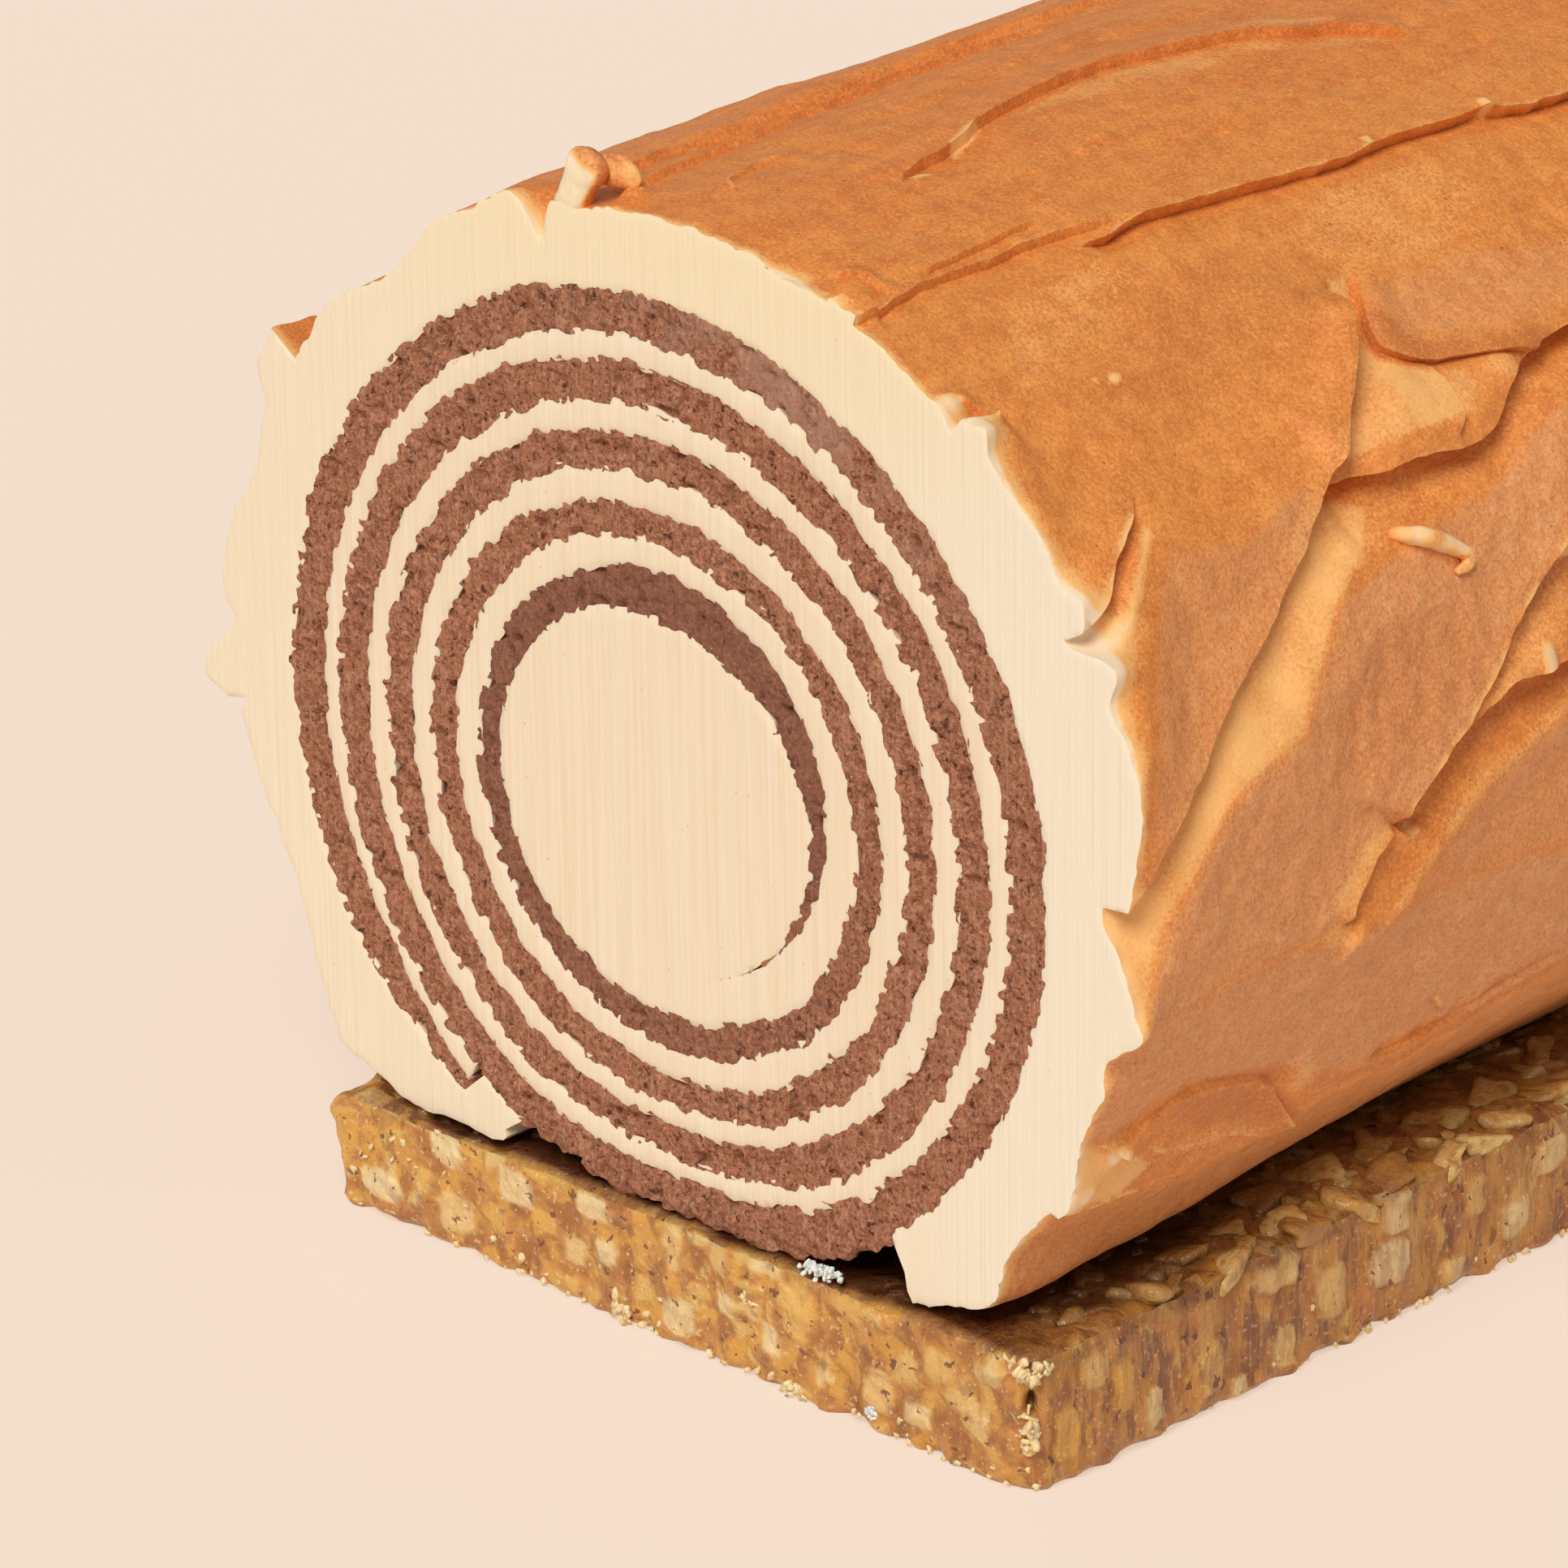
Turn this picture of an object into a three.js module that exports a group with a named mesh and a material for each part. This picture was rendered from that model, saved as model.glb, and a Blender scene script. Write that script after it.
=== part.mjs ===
// A yule log cake: a thin chocolate sponge rolled up with cream, coated in cream that is worked
// with a palette knife into bark, lying on a slab of chopped nuts. Both ends are cut flat.
//
// Millimetres, +Z up. The log runs along Y. The origin is on the underside of the slab, below the
// log's axis and midway between its two cut ends. A place on the bark is given by y, the distance
// from the front cut end, and by an angle round the log: 0 faces +X and 90 faces up.

import * as THREE from 'three';
import { mergeVertices } from 'three/addons/utils/BufferGeometryUtils.js';

// ---- Driving dimensions ----

const LOG_LENGTH = 220;
const GAP = 0.3; // clearance between neighbouring pieces

// Nut slab
const SLAB_LEFT = -39.2;
const SLAB_RIGHT = 43.7;
const SLAB_OVERHANG = 1.5; // how far the slab runs past each cut end
const SLAB_THICKNESS = 11.5; // below the log's axis
const SLAB_TOP_SLOPE = 0.022; // the slab is a little thicker towards +X
const SLAB_CORNER_RADIUS = 3.5;
const SLAB_EDGE_ROUNDING = 1.1;
const NUT_RELIEF = 0.55;

// Sponge roll
const ROLL_CENTRE = { x: 1.25, z: 50.25 };
const ROLL_START_RADIUS = 17.26; // of the sponge's middle line at angle 0 of the first turn
const ROLL_PITCH = 5.74; // growth of the radius in one turn
const ROLL_TURNS = 5;
const ROLL_OVAL = 0.7;
const ROLL_OVAL_ANGLE = 17;
const CORE_OFFSET = { x: -0.66, z: -1.12 }; // the core's centre from the roll's centre
const SPONGE_START = -75; // angles along the spiral, degrees, from the inner end
const SPONGE_END = 1668; // to the outer end
const SPONGE_THICKNESS = 3.1;
const SPONGE_THICKENING = 0.28; // more thickness with each turn
const FIRST_TURN_SWELL = 1.7; // the sponge is thickest where it was first folded over
const FIRST_TURN_SWELL_ANGLE = 75;
const FIRST_TURN_SWELL_SPAN = 50;
const START_TAPER_SPAN = 120; // the sponge starts as a thin edge
const TAIL_PINCH = 1.3; // the tail is pressed onto the turn below it
const TAIL_PINCH_SPAN = 48;
const TAIL_THINNING = 0.5;
const TAIL_THINNING_SPAN = 28;
const REST_SQUASH = 2.2; // how far the roll's foot is flattened by its own weight
const REST_SQUASH_DEPTH = 27; // the squash starts this far below the roll's centre
const REST_SQUASH_HEIGHT = 13.4;
const REST_SQUASH_HALF_WIDTH = 14;
const SPIRAL_STEP = 12;

// Cream coat
const COAT_CENTRE_Z = 51.15;
const COAT_RADIUS = 51;
const COAT_OVAL = 2.3;
const COAT_OVAL_ANGLE = 22;
const COAT_RIGHT_FOOT = -57.5; // where the coat's underside ends, as an angle round the log
const COAT_LEFT_FOOT = 246;
const COAT_INNER_START = 1388; // spiral angle where the coat starts to touch the sponge
const FOOT_FADE_SPAN = 14; // the bark relief dies out over this many degrees at the feet
const FOOT_ARCH = 0.4; // how far a foot's underside is hollowed
const COAT_COLUMNS = 92;
const COAT_ROWS = 42;
const FRONT_ROW_SHARE = 0.8; // rows are closer together towards the front end

// ---- Small helpers ----

const radians = THREE.MathUtils.degToRad;
const degrees = THREE.MathUtils.radToDeg;
const smooth = THREE.MathUtils.smoothstep;
const mix = THREE.MathUtils.lerp;

// A repeatable random draw between two values (Park-Miller generator).
function makeDraw(seed) {
  let state = seed;
  return (low, high) => {
    state = (state * 16807) % 2147483647;
    return low + (high - low) * (state / 2147483647);
  };
}

// ---- The bark's relief ----
//
// A crease is a line that the knife left on the bark. The surface rises by `above` on the side
// with the larger angles and by `below` on the other side, and each rise runs out in a straight
// slope over a width in mm: two widths where it changes from the line's start to its end.
// `fade` gives the lengths over which the crease dies out at its two ends.

function crease(points, above, aboveWidth, below, belowWidth, fade = [6, 6]) {
  const widths = (value) => (Array.isArray(value) ? value : [value, value]);
  const line = points.map(([y, angle]) => new THREE.Vector2(y, radians(angle) * COAT_RADIUS));
  const lengths = line.map((point, i) => (i === 0 ? 0 : point.distanceTo(line[i - 1])));
  const starts = lengths.map((_, i) => lengths.slice(0, i + 1).reduce((a, b) => a + b, 0));
  return {
    line,
    starts,
    total: starts[starts.length - 1],
    above,
    below,
    aboveWidth: widths(aboveWidth),
    belowWidth: widths(belowWidth),
    fade,
  };
}

// A dab is a soft lump of cream: its place, its half sizes along y and round the log, its height.
const dab = (y, angle, halfLength, halfWidth, height) => ({ y, angle, halfLength, halfWidth, height });

const shownCreases = [
  // The long shelf on the upper right, and the shallow arch above it
  crease([[0, 61.5], [20, 64], [45, 61.5], [75, 60], [118, 62]], 0.9, 9, -0.9, 4, [0, 25]),
  crease([[18, 75.5], [35, 80.5], [50, 81.5], [68, 77], [78, 72]], -0.5, 4, 0.6, 7),
  // The large fin that rises from the cut end
  crease([[0, 3.5], [15, 17], [28, 29], [38, 41], [46, 51]], 1.6, 10, -2.6, [4, 8], [0, 5]),
  // The shell of cream beside its top, and the shelf that runs on from it
  crease([[31, 32.5], [42, 31.5], [51, 32], [57, 37], [80, 41], [102, 45]], 2.1, 8, -1.6, 9, [2, 18]),
  crease([[45, 51], [45, 43], [50, 39.5], [57, 37.5]], 0.1, 3, 0.6, 5, [3, 2]),
  // The second fin, with the V of folded cream at its foot
  crease([[31.5, 1.5], [40, 9], [50, 19], [60, 26.5], [73, 36]], 1.7, 8, -2.1, 6, [2, 8]),
  crease([[31.5, 1], [36, 6], [50, 8.3], [62, 13], [76, 20]], 0.8, 4, -1.6, 5, [2, 8]),
  crease([[26, -7], [28.5, -2.5], [33, 0]], 0.7, 3, -1.1, 3, [2, 2]),
  crease([[27, -7], [34, -6], [43, -0.5], [54, 3]], -1, 3, 0.6, 5, [2, 8]),
  // The bends between the knife's flat strokes on the right side
  crease([[0, -8.5], [45, -7.5], [80, -11], [120, -8]], 0.5, 10, 0.5, 10, [0, 20]),
  crease([[25, 15.5], [31, 18.7], [46, 19]], 0.3, 6, 0.4, 6),
  crease([[30, 24], [38, 24.5], [60, 30.5], [75, 34]], 0.4, 6, 0.5, 6),
  crease([[0, -31], [40, -29.5], [60, -26.5], [130, -28]], 0.7, 8, 0.7, 7, [0, 20]),
  crease([[4, -23], [18, -21], [25, -27], [32, -36]], -0.3, 3, 0.8, 5, [2, 2]),
  crease([[6, 48.5], [22, 48], [42, 49]], 0.3, 6, 0.3, 6),
  crease([[12, 32.5], [20, 31.5], [31, 35.5]], 0.5, 5, -0.4, 3),
  // The lips at the rim of the cut end
  crease([[0, 28], [5, 31.5], [12, 36]], 1.3, 4, -1.2, 3, [0, 4]),
  crease([[0, 50], [7, 48.5]], -0.4, 3, 1.8, 8, [0, 5]),
  // The left side, beside the cut end
  crease([[0, 149], [20, 153], [45, 149], [80, 155]], 2.4, 6, -1.2, 9, [0, 12]),
  crease([[0, 188], [15, 190], [40, 184], [70, 188]], -1.6, 6, 0.7, 6, [0, 12]),
  crease([[0, 222], [30, 220], [80, 223]], 1.6, 6, 1.6, 7, [0, 12]),
];

const dabs = [
  dab(41, 37, 6, 4.5, 1.1),
  dab(52, 36.5, 3, 3, 1.2),
  dab(42, 24, 3, 1.6, 1.3),
  dab(53, 13, 3.5, 2.5, 1.1),
  dab(1, 101, 2.4, 1.6, 3),
  dab(3, 97, 2.4, 2, 1.4),
  dab(1, 185, 2.6, 2.6, 1.8),
  dab(6, 84.5, 5, 1.6, 0.5),
  dab(24, -25, 6, 4, 0.8),
  dab(73, 60.5, 1.6, 1.2, 0.7),
];

// The rest of the bark: fins that slant up both sides, and long shelves over the top.
function fartherCreases() {
  const draw = makeDraw(2412);
  const creases = [];
  for (let y = 84; y < LOG_LENGTH - 20; y += draw(27, 35)) {
    const foot = draw(-6, 8);
    const rise = draw(36, 48);
    const run = draw(34, 46);
    creases.push(crease(
      [[y, foot], [y + 0.35 * run, foot + 0.32 * rise], [y + run, foot + rise]],
      draw(1.2, 1.8), 9, draw(-2.6, -1.8), [4, 8], [5, 6],
    ));
    creases.push(crease(
      [[y + 8, foot - 14], [y + 24, foot - draw(2, 8)], [y + 38, foot + draw(0, 8)]],
      draw(0.5, 1), 4, draw(-1.3, -0.6), 5, [4, 6],
    ));
  }
  for (let y = 12; y < LOG_LENGTH - 20; y += draw(28, 36)) {
    const foot = draw(196, 208);
    const rise = draw(38, 52);
    const run = draw(34, 46);
    creases.push(crease(
      [[y, foot], [y + 0.4 * run, foot - 0.35 * rise], [y + run, foot - rise]],
      draw(-2.2, -1.5), [4, 7], draw(1, 1.6), 9, [5, 6],
    ));
    creases.push(crease(
      [[y + 14, foot + 5], [y + 30, foot - draw(4, 10)], [y + 44, foot - draw(12, 18)]],
      draw(-1.2, -0.6), 5, draw(0.5, 1), 4, [4, 6],
    ));
  }
  for (const angle of [74, 92, 106, 121, 135]) {
    for (let y = draw(4, 60) + (angle === 74 ? 84 : 0); y < LOG_LENGTH - 30; y += draw(70, 95)) {
      const sag = draw(-3, 3);
      const end = Math.min(y + draw(50, 75), LOG_LENGTH);
      creases.push(crease(
        [[y, angle], [mix(y, end, 0.5), angle + sag], [end, angle - sag]],
        draw(-0.7, 0.9), 7, draw(-0.9, 0.5), 5, [10, 12],
      ));
    }
  }
  for (const angle of [-30, 62, 212]) {
    creases.push(crease([[118, angle], [170, angle + 3], [LOG_LENGTH, angle]], 0.7, 8, 0.4, 7, [20, 0]));
  }
  return creases;
}

const creases = [...shownCreases, ...fartherCreases()];

const STEP_SOFTNESS = 1.2; // half the width of a crease's step, wide enough for the skin's mesh
const SLOPE_SOFTNESS = 0.12; // how soft the bend is where a slope runs out

function slope(distance, width) {
  const share = Math.max(0, 1 - distance / width);
  return (share * share * (1 + SLOPE_SOFTNESS)) / (share + SLOPE_SOFTNESS);
}

function creaseHeight(item, y, s) {
  let nearest = Infinity;
  let side = 1;
  let along = 0;
  for (let i = 0; i + 1 < item.line.length; i += 1) {
    const a = item.line[i];
    const b = item.line[i + 1];
    const run = b.x - a.x;
    const rise = b.y - a.y;
    const share = ((y - a.x) * run + (s - a.y) * rise) / (run * run + rise * rise);
    const t = THREE.MathUtils.clamp(share, 0, 1);
    const distance = Math.hypot(y - a.x - t * run, s - a.y - t * rise);
    if (distance < nearest) {
      nearest = distance;
      side = run * (s - a.y) - rise * (y - a.x) < 0 ? -1 : 1;
      along = item.starts[i] + t * Math.hypot(run, rise);
    }
  }
  const share = along / item.total;
  const above = item.above * slope(nearest, mix(...item.aboveWidth, share));
  const below = item.below * slope(nearest, mix(...item.belowWidth, share));
  const fadeIn = item.fade[0] > 0 ? smooth(along, 0, item.fade[0]) : 1;
  const fadeOut = item.fade[1] > 0 ? smooth(item.total - along, 0, item.fade[1]) : 1;
  return mix(below, above, smooth(side * nearest, -STEP_SOFTNESS, STEP_SOFTNESS)) * fadeIn * fadeOut;
}

function dabHeight(item, y, s) {
  const along = (y - item.y) / item.halfLength;
  const across = (s - radians(item.angle) * COAT_RADIUS) / item.halfWidth;
  return item.height * Math.exp(-(along ** 2) - across ** 2);
}

// Height of the bark above the smooth coat.
function relief(y, angle) {
  const s = radians(angle) * COAT_RADIUS;
  const waves = 0.35 * Math.sin(0.071 * y + 0.045 * s + 1.3) + 0.3 * Math.sin(0.113 * s - 0.039 * y + 0.4);
  const lines = creases.reduce((sum, item) => sum + creaseHeight(item, y, s), waves);
  const total = dabs.reduce((sum, item) => sum + dabHeight(item, y, s), lines);
  const rightFade = smooth(angle, COAT_RIGHT_FOOT, COAT_RIGHT_FOOT + FOOT_FADE_SPAN);
  const leftFade = smooth(-angle, -COAT_LEFT_FOOT, -COAT_LEFT_FOOT + FOOT_FADE_SPAN);
  return total * rightFade * leftFade;
}

// ---- The spiral section of the roll ----

// How far up a point of the roll's section is pushed by the slab.
function squash(x, z) {
  const depth = ROLL_CENTRE.z - z - REST_SQUASH_DEPTH;
  if (depth <= 0) return 0;
  const across = Math.exp(-(((x - ROLL_CENTRE.x) / REST_SQUASH_HALF_WIDTH) ** 2));
  return REST_SQUASH * (depth / REST_SQUASH_HEIGHT) * across;
}

function rollPoint(angle, radius) {
  const x = ROLL_CENTRE.x + radius * Math.cos(radians(angle));
  const z = ROLL_CENTRE.z + radius * Math.sin(radians(angle));
  return new THREE.Vector2(x, z + squash(x, z));
}

function spongeThickness(angle) {
  const swell = Math.exp(-(((angle - FIRST_TURN_SWELL_ANGLE) / FIRST_TURN_SWELL_SPAN) ** 2));
  const full = SPONGE_THICKNESS + SPONGE_THICKENING * (angle / 360) + FIRST_TURN_SWELL * swell;
  const start = smooth(angle, SPONGE_START, SPONGE_START + START_TAPER_SPAN);
  const tail = 1 - TAIL_THINNING * smooth(angle, SPONGE_END - TAIL_THINNING_SPAN, SPONGE_END);
  return full * start * tail;
}

function spongeMiddle(angle) {
  const turn = angle / 360;
  const drift = 1 - turn / ROLL_TURNS;
  const a = radians(angle);
  const offset = drift * (CORE_OFFSET.x * Math.cos(a) + CORE_OFFSET.z * Math.sin(a));
  const oval = ROLL_OVAL * Math.cos(2 * (a - radians(ROLL_OVAL_ANGLE)));
  const pinch = TAIL_PINCH * smooth(angle, SPONGE_END - TAIL_PINCH_SPAN, SPONGE_END);
  return ROLL_START_RADIUS + ROLL_PITCH * turn + oval + offset - pinch;
}

const spongeOuter = (angle) => spongeMiddle(angle) + spongeThickness(angle) / 2;
const spongeInner = (angle) => spongeMiddle(angle) - spongeThickness(angle) / 2;

// Spiral angles from one to another, with every multiple of the step between them.
function spiralAngles(from, to) {
  const list = [from];
  for (let a = (Math.floor(from / SPIRAL_STEP) + 1) * SPIRAL_STEP; a < to; a += SPIRAL_STEP) list.push(a);
  list.push(to);
  return list;
}

function extrudeSection(points) {
  const shape = new THREE.Shape(points);
  let geometry = new THREE.ExtrudeGeometry(shape, { depth: LOG_LENGTH, bevelEnabled: false, steps: 1 });
  geometry.deleteAttribute('normal');
  geometry.deleteAttribute('uv');
  geometry = mergeVertices(geometry);
  geometry.rotateX(Math.PI / 2);
  geometry.translate(0, LOG_LENGTH / 2, 0);
  return geometry;
}

function spongeGeometry() {
  const angles = spiralAngles(SPONGE_START + SPIRAL_STEP / 2, SPONGE_END);
  const outer = angles.map((a) => rollPoint(a, spongeOuter(a)));
  const inner = angles.map((a) => rollPoint(a, spongeInner(a)));
  return extrudeSection([...outer, ...inner.reverse()]);
}

// The cream inside the roll is the round core and the spiral between the turns, all one body.
function fillingGeometry() {
  const last = SPONGE_END - 0.8 * TAIL_PINCH_SPAN; // the cream ends where the tail is pinched
  const outside = spiralAngles(SPONGE_START - SPIRAL_STEP / 2, last).map((a) => {
    const edge = Math.max(a, SPONGE_START + SPIRAL_STEP / 2);
    return rollPoint(a, spongeInner(edge) - GAP);
  });
  const inside = spiralAngles(SPONGE_START - SPIRAL_STEP / 2, last - 360).map((a) => {
    const edge = Math.max(a, SPONGE_START + SPIRAL_STEP / 2);
    return rollPoint(a, spongeOuter(edge) + GAP);
  });
  return extrudeSection([...outside, ...inside.reverse()]);
}

// ---- The cream coat ----

const slabTop = (x) => SLAB_THICKNESS + SLAB_TOP_SLOPE * x;

function coatOuterPoint(y, angle, height) {
  const a = radians(angle);
  const radius = COAT_RADIUS + COAT_OVAL * Math.cos(2 * (a - radians(COAT_OVAL_ANGLE))) + height;
  const x = radius * Math.cos(a);
  const z = COAT_CENTRE_Z + radius * Math.sin(a);
  const fromEnd = Math.min(angle - COAT_RIGHT_FOOT, COAT_LEFT_FOOT - angle) / FOOT_FADE_SPAN;
  const arch = FOOT_ARCH * Math.sin(Math.PI * Math.min(fromEnd, 1));
  return [x, y - LOG_LENGTH / 2, Math.max(z, slabTop(x) + GAP + arch)];
}

// The line where the coat meets the roll, from its right foot over the top to its left foot.
function coatInnerLine() {
  const touching = spiralAngles(COAT_INNER_START, SPONGE_END);
  const line = touching.map((a) => rollPoint(a, spongeOuter(a) + GAP));
  const pastTail = SPONGE_END + degrees(GAP / spongeOuter(SPONGE_END)) * 1.5;
  line.push(rollPoint(pastTail, spongeOuter(SPONGE_END) + GAP));
  for (const angle of [pastTail, SPONGE_END + 6, SPONGE_END + 12]) {
    line.push(rollPoint(angle, spongeOuter(angle - 360) + GAP + 0.1));
  }
  return line;
}

function coatGeometry() {
  const positions = [];
  const heights = [];
  const indices = [];
  const columns = COAT_COLUMNS + 1;
  const rows = COAT_ROWS + 1;

  // Outer skin: row after row from the front end to the back end. Each cell is split along the
  // diagonal that climbs least, so that the creases stay whole.
  for (let row = 0; row < rows; row += 1) {
    const share = row / COAT_ROWS;
    const y = LOG_LENGTH * mix(share * share, share, FRONT_ROW_SHARE);
    for (let column = 0; column < columns; column += 1) {
      const angle = mix(COAT_RIGHT_FOOT, COAT_LEFT_FOOT, column / COAT_COLUMNS);
      const height = relief(y, angle);
      heights.push(height);
      positions.push(...coatOuterPoint(y, angle, height));
    }
  }
  const outer = (row, column) => row * columns + column;
  for (let row = 0; row < COAT_ROWS; row += 1) {
    for (let column = 0; column < COAT_COLUMNS; column += 1) {
      const a = outer(row, column);
      const b = outer(row, column + 1);
      const c = outer(row + 1, column + 1);
      const d = outer(row + 1, column);
      const alongSlope = Math.abs(heights[a] - heights[c]) < Math.abs(heights[b] - heights[d]);
      indices.push(...(alongSlope ? [a, d, c, a, c, b] : [a, d, b, b, d, c]));
    }
  }

  // Inner skin: straight strips from the front end to the back end
  const innerLine = coatInnerLine();
  const innerStart = positions.length / 3;
  for (const y of [-LOG_LENGTH / 2, LOG_LENGTH / 2]) {
    for (const point of innerLine) positions.push(point.x, y, point.y);
  }
  const inner = (end, i) => innerStart + end * innerLine.length + i;
  for (let i = 0; i + 1 < innerLine.length; i += 1) {
    indices.push(inner(0, i), inner(0, i + 1), inner(1, i));
    indices.push(inner(0, i + 1), inner(1, i + 1), inner(1, i));
  }

  // The two cut ends
  const vertex = (index) => new THREE.Vector2(positions[3 * index], positions[3 * index + 2]);
  for (const end of [0, 1]) {
    const ring = [];
    for (let column = 0; column < columns; column += 1) ring.push(outer(end * COAT_ROWS, column));
    for (let i = innerLine.length - 1; i >= 0; i -= 1) ring.push(inner(end, i));
    for (const [a, b, c] of THREE.ShapeUtils.triangulateShape(ring.map(vertex), [])) {
      const triangle = [ring[a], ring[b], ring[c]];
      indices.push(...(end === 0 ? triangle : triangle.reverse()));
    }
  }

  // The narrow edges of the two feet, as fans from the inner skin's corners
  const middle = Math.round(COAT_ROWS / 2);
  for (const [column, i, flip] of [[0, 0, true], [COAT_COLUMNS, innerLine.length - 1, false]]) {
    const fan = [[inner(0, i), outer(middle, column), inner(1, i)]];
    for (let row = 0; row < COAT_ROWS; row += 1) {
      fan.push([inner(row < middle ? 0 : 1, i), outer(row, column), outer(row + 1, column)]);
    }
    for (const triangle of fan) indices.push(...(flip ? triangle.reverse() : triangle));
  }

  const geometry = new THREE.BufferGeometry();
  geometry.setAttribute('position', new THREE.Float32BufferAttribute(positions, 3));
  geometry.setIndex(indices);
  return geometry;
}

// ---- The nut slab ----

function slabGeometry() {
  const width = SLAB_RIGHT - SLAB_LEFT;
  const length = LOG_LENGTH + 2 * SLAB_OVERHANG;
  const centreX = (SLAB_LEFT + SLAB_RIGHT) / 2;
  let geometry = new THREE.BoxGeometry(width, length, 2, 14, 38, 4);
  geometry.deleteAttribute('normal');
  geometry.deleteAttribute('uv');
  geometry = mergeVertices(geometry);
  const draw = makeDraw(77);
  const position = geometry.attributes.position;
  for (let i = 0; i < position.count; i += 1) {
    let x = position.getX(i);
    let y = position.getY(i);
    const level = (position.getZ(i) + 1) / 2; // 0 at the underside, 1 at the top
    const nut = draw(-1, 1) * NUT_RELIEF;
    const atSide = Math.abs(x) > width / 2 - 0.01;
    const atEnd = Math.abs(y) > length / 2 - 0.01;

    // Round the slab's corners in plan
    const cornerX = width / 2 - SLAB_CORNER_RADIUS;
    const cornerY = length / 2 - SLAB_CORNER_RADIUS;
    if (Math.abs(x) > cornerX && Math.abs(y) > cornerY) {
      const reach = new THREE.Vector2(Math.abs(x) - cornerX, Math.abs(y) - cornerY);
      const longest = Math.max(reach.x, reach.y);
      reach.setLength(longest);
      x = Math.sign(x) * (cornerX + reach.x);
      y = Math.sign(y) * (cornerY + reach.y);
    }

    // Draw the rims in, and let the nuts stand out of the cut sides
    const rim = level === 0 || level === 1 ? SLAB_EDGE_ROUNDING : 0;
    if (atSide) x -= Math.sign(x) * (rim + 0.3 - nut);
    if (atEnd) y -= Math.sign(y) * (rim + 0.3 - nut);
    x += centreX;

    // The underside is flat, and the top is uneven beside the log
    const top = slabTop(x);
    const besideLog = Math.abs(x - centreX) > width / 2 - 8 || Math.abs(y) > LOG_LENGTH / 2;
    const bump = level === 1 && besideLog ? -Math.abs(nut) : 0;
    const edge = level === 1 && (atSide || atEnd) ? SLAB_EDGE_ROUNDING / 2 : 0;
    position.setXYZ(i, x, y, level * top + bump - edge);
  }
  return geometry;
}

// ---- The cake ----

function piece(name, geometry, color, roughness) {
  const mesh = new THREE.Mesh(geometry, new THREE.MeshStandardMaterial({ color, roughness, metalness: 0 }));
  mesh.name = name;
  return mesh;
}

const cake = new THREE.Group();
cake.add(
  piece('nut_base', slabGeometry(), 0xc49a4e, 0.45),
  piece('sponge_roll', spongeGeometry(), 0x7c4c3e, 0.95),
  piece('cream_filling', fillingGeometry(), 0xf6e2c2, 0.6),
  piece('cream_coat', coatGeometry(), 0xd68a4c, 0.7),
);

export default cake;
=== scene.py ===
"""Looks of the yule log cake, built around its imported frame.

Places are in millimetres until a mesh is made. A place on the bark is given by y, the distance from
the front cut end, and by an angle round the log in degrees: 0 faces +X and 90 faces up. A place in
the cut section is given by x and z.
"""

import math

import bpy
import numpy as np
from mathutils import Matrix, Vector
from mathutils.geometry import delaunay_2d_cdt


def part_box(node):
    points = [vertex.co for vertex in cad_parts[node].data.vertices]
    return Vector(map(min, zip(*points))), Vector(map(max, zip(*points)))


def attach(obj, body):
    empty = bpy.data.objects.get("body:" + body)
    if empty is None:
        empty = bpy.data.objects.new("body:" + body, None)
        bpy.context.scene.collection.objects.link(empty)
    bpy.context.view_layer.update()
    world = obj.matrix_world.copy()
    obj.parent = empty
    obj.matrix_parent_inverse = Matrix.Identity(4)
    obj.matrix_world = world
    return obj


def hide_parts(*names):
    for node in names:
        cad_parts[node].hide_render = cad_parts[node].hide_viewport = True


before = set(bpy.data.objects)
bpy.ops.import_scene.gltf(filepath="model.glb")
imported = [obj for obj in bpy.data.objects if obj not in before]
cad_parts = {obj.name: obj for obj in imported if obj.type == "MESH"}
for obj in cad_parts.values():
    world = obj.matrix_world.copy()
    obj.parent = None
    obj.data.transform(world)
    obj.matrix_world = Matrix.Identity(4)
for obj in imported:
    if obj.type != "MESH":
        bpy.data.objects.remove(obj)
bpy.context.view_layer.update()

MM = 0.001
roll_low, roll_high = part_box("sponge_roll")
LOG_LENGTH = (roll_high.y - roll_low.y) / MM

# ---- Helpers: noise, smooth steps and meshes ----

NOISE_CELLS = 48


def smooth(value, low, high):
    """0 up to low, 1 from high on, with an even rise between."""
    share = np.clip((np.asarray(value, float) - low) / (high - low), 0, 1)
    return share * share * (3 - 2 * share)


def between(value, rise, fall):
    """Rises from 0 to 1 over the first range of the value, and falls to 0 again over the second."""
    return smooth(value, *rise) * smooth(-value, -fall[1], -fall[0])


def noise(points, size, seed):
    """Smooth noise between about -1 and 1, with lumps of the given size, at each of the points."""
    table = np.random.default_rng(seed).uniform(-1, 1, (NOISE_CELLS,) * 3)
    place = np.asarray(points, float) / size
    cell = np.floor(place).astype(int)
    f = place - cell
    f = f * f * f * (f * (f * 6 - 15) + 10)
    low, high = cell % NOISE_CELLS, (cell + 1) % NOISE_CELLS
    total = 0
    for corner in np.ndindex(2, 2, 2):
        index = tuple(np.where(c, high[..., i], low[..., i]) for i, c in enumerate(corner))
        weight = 1
        for i, c in enumerate(corner):
            weight = weight * (f[..., i] if c else 1 - f[..., i])
        total = total + weight * table[index]
    return total


def layered_noise(points, *layers):
    """The sum of layers of noise, each given by its height, size and seed."""
    return sum(height * noise(points, size, seed) for height, size, seed in layers)


def flat3(a, b, c=0.0):
    """Points from separate coordinates, each a number or an array."""
    return np.stack(np.broadcast_arrays(np.asarray(a, float), b, c), axis=-1)


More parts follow.
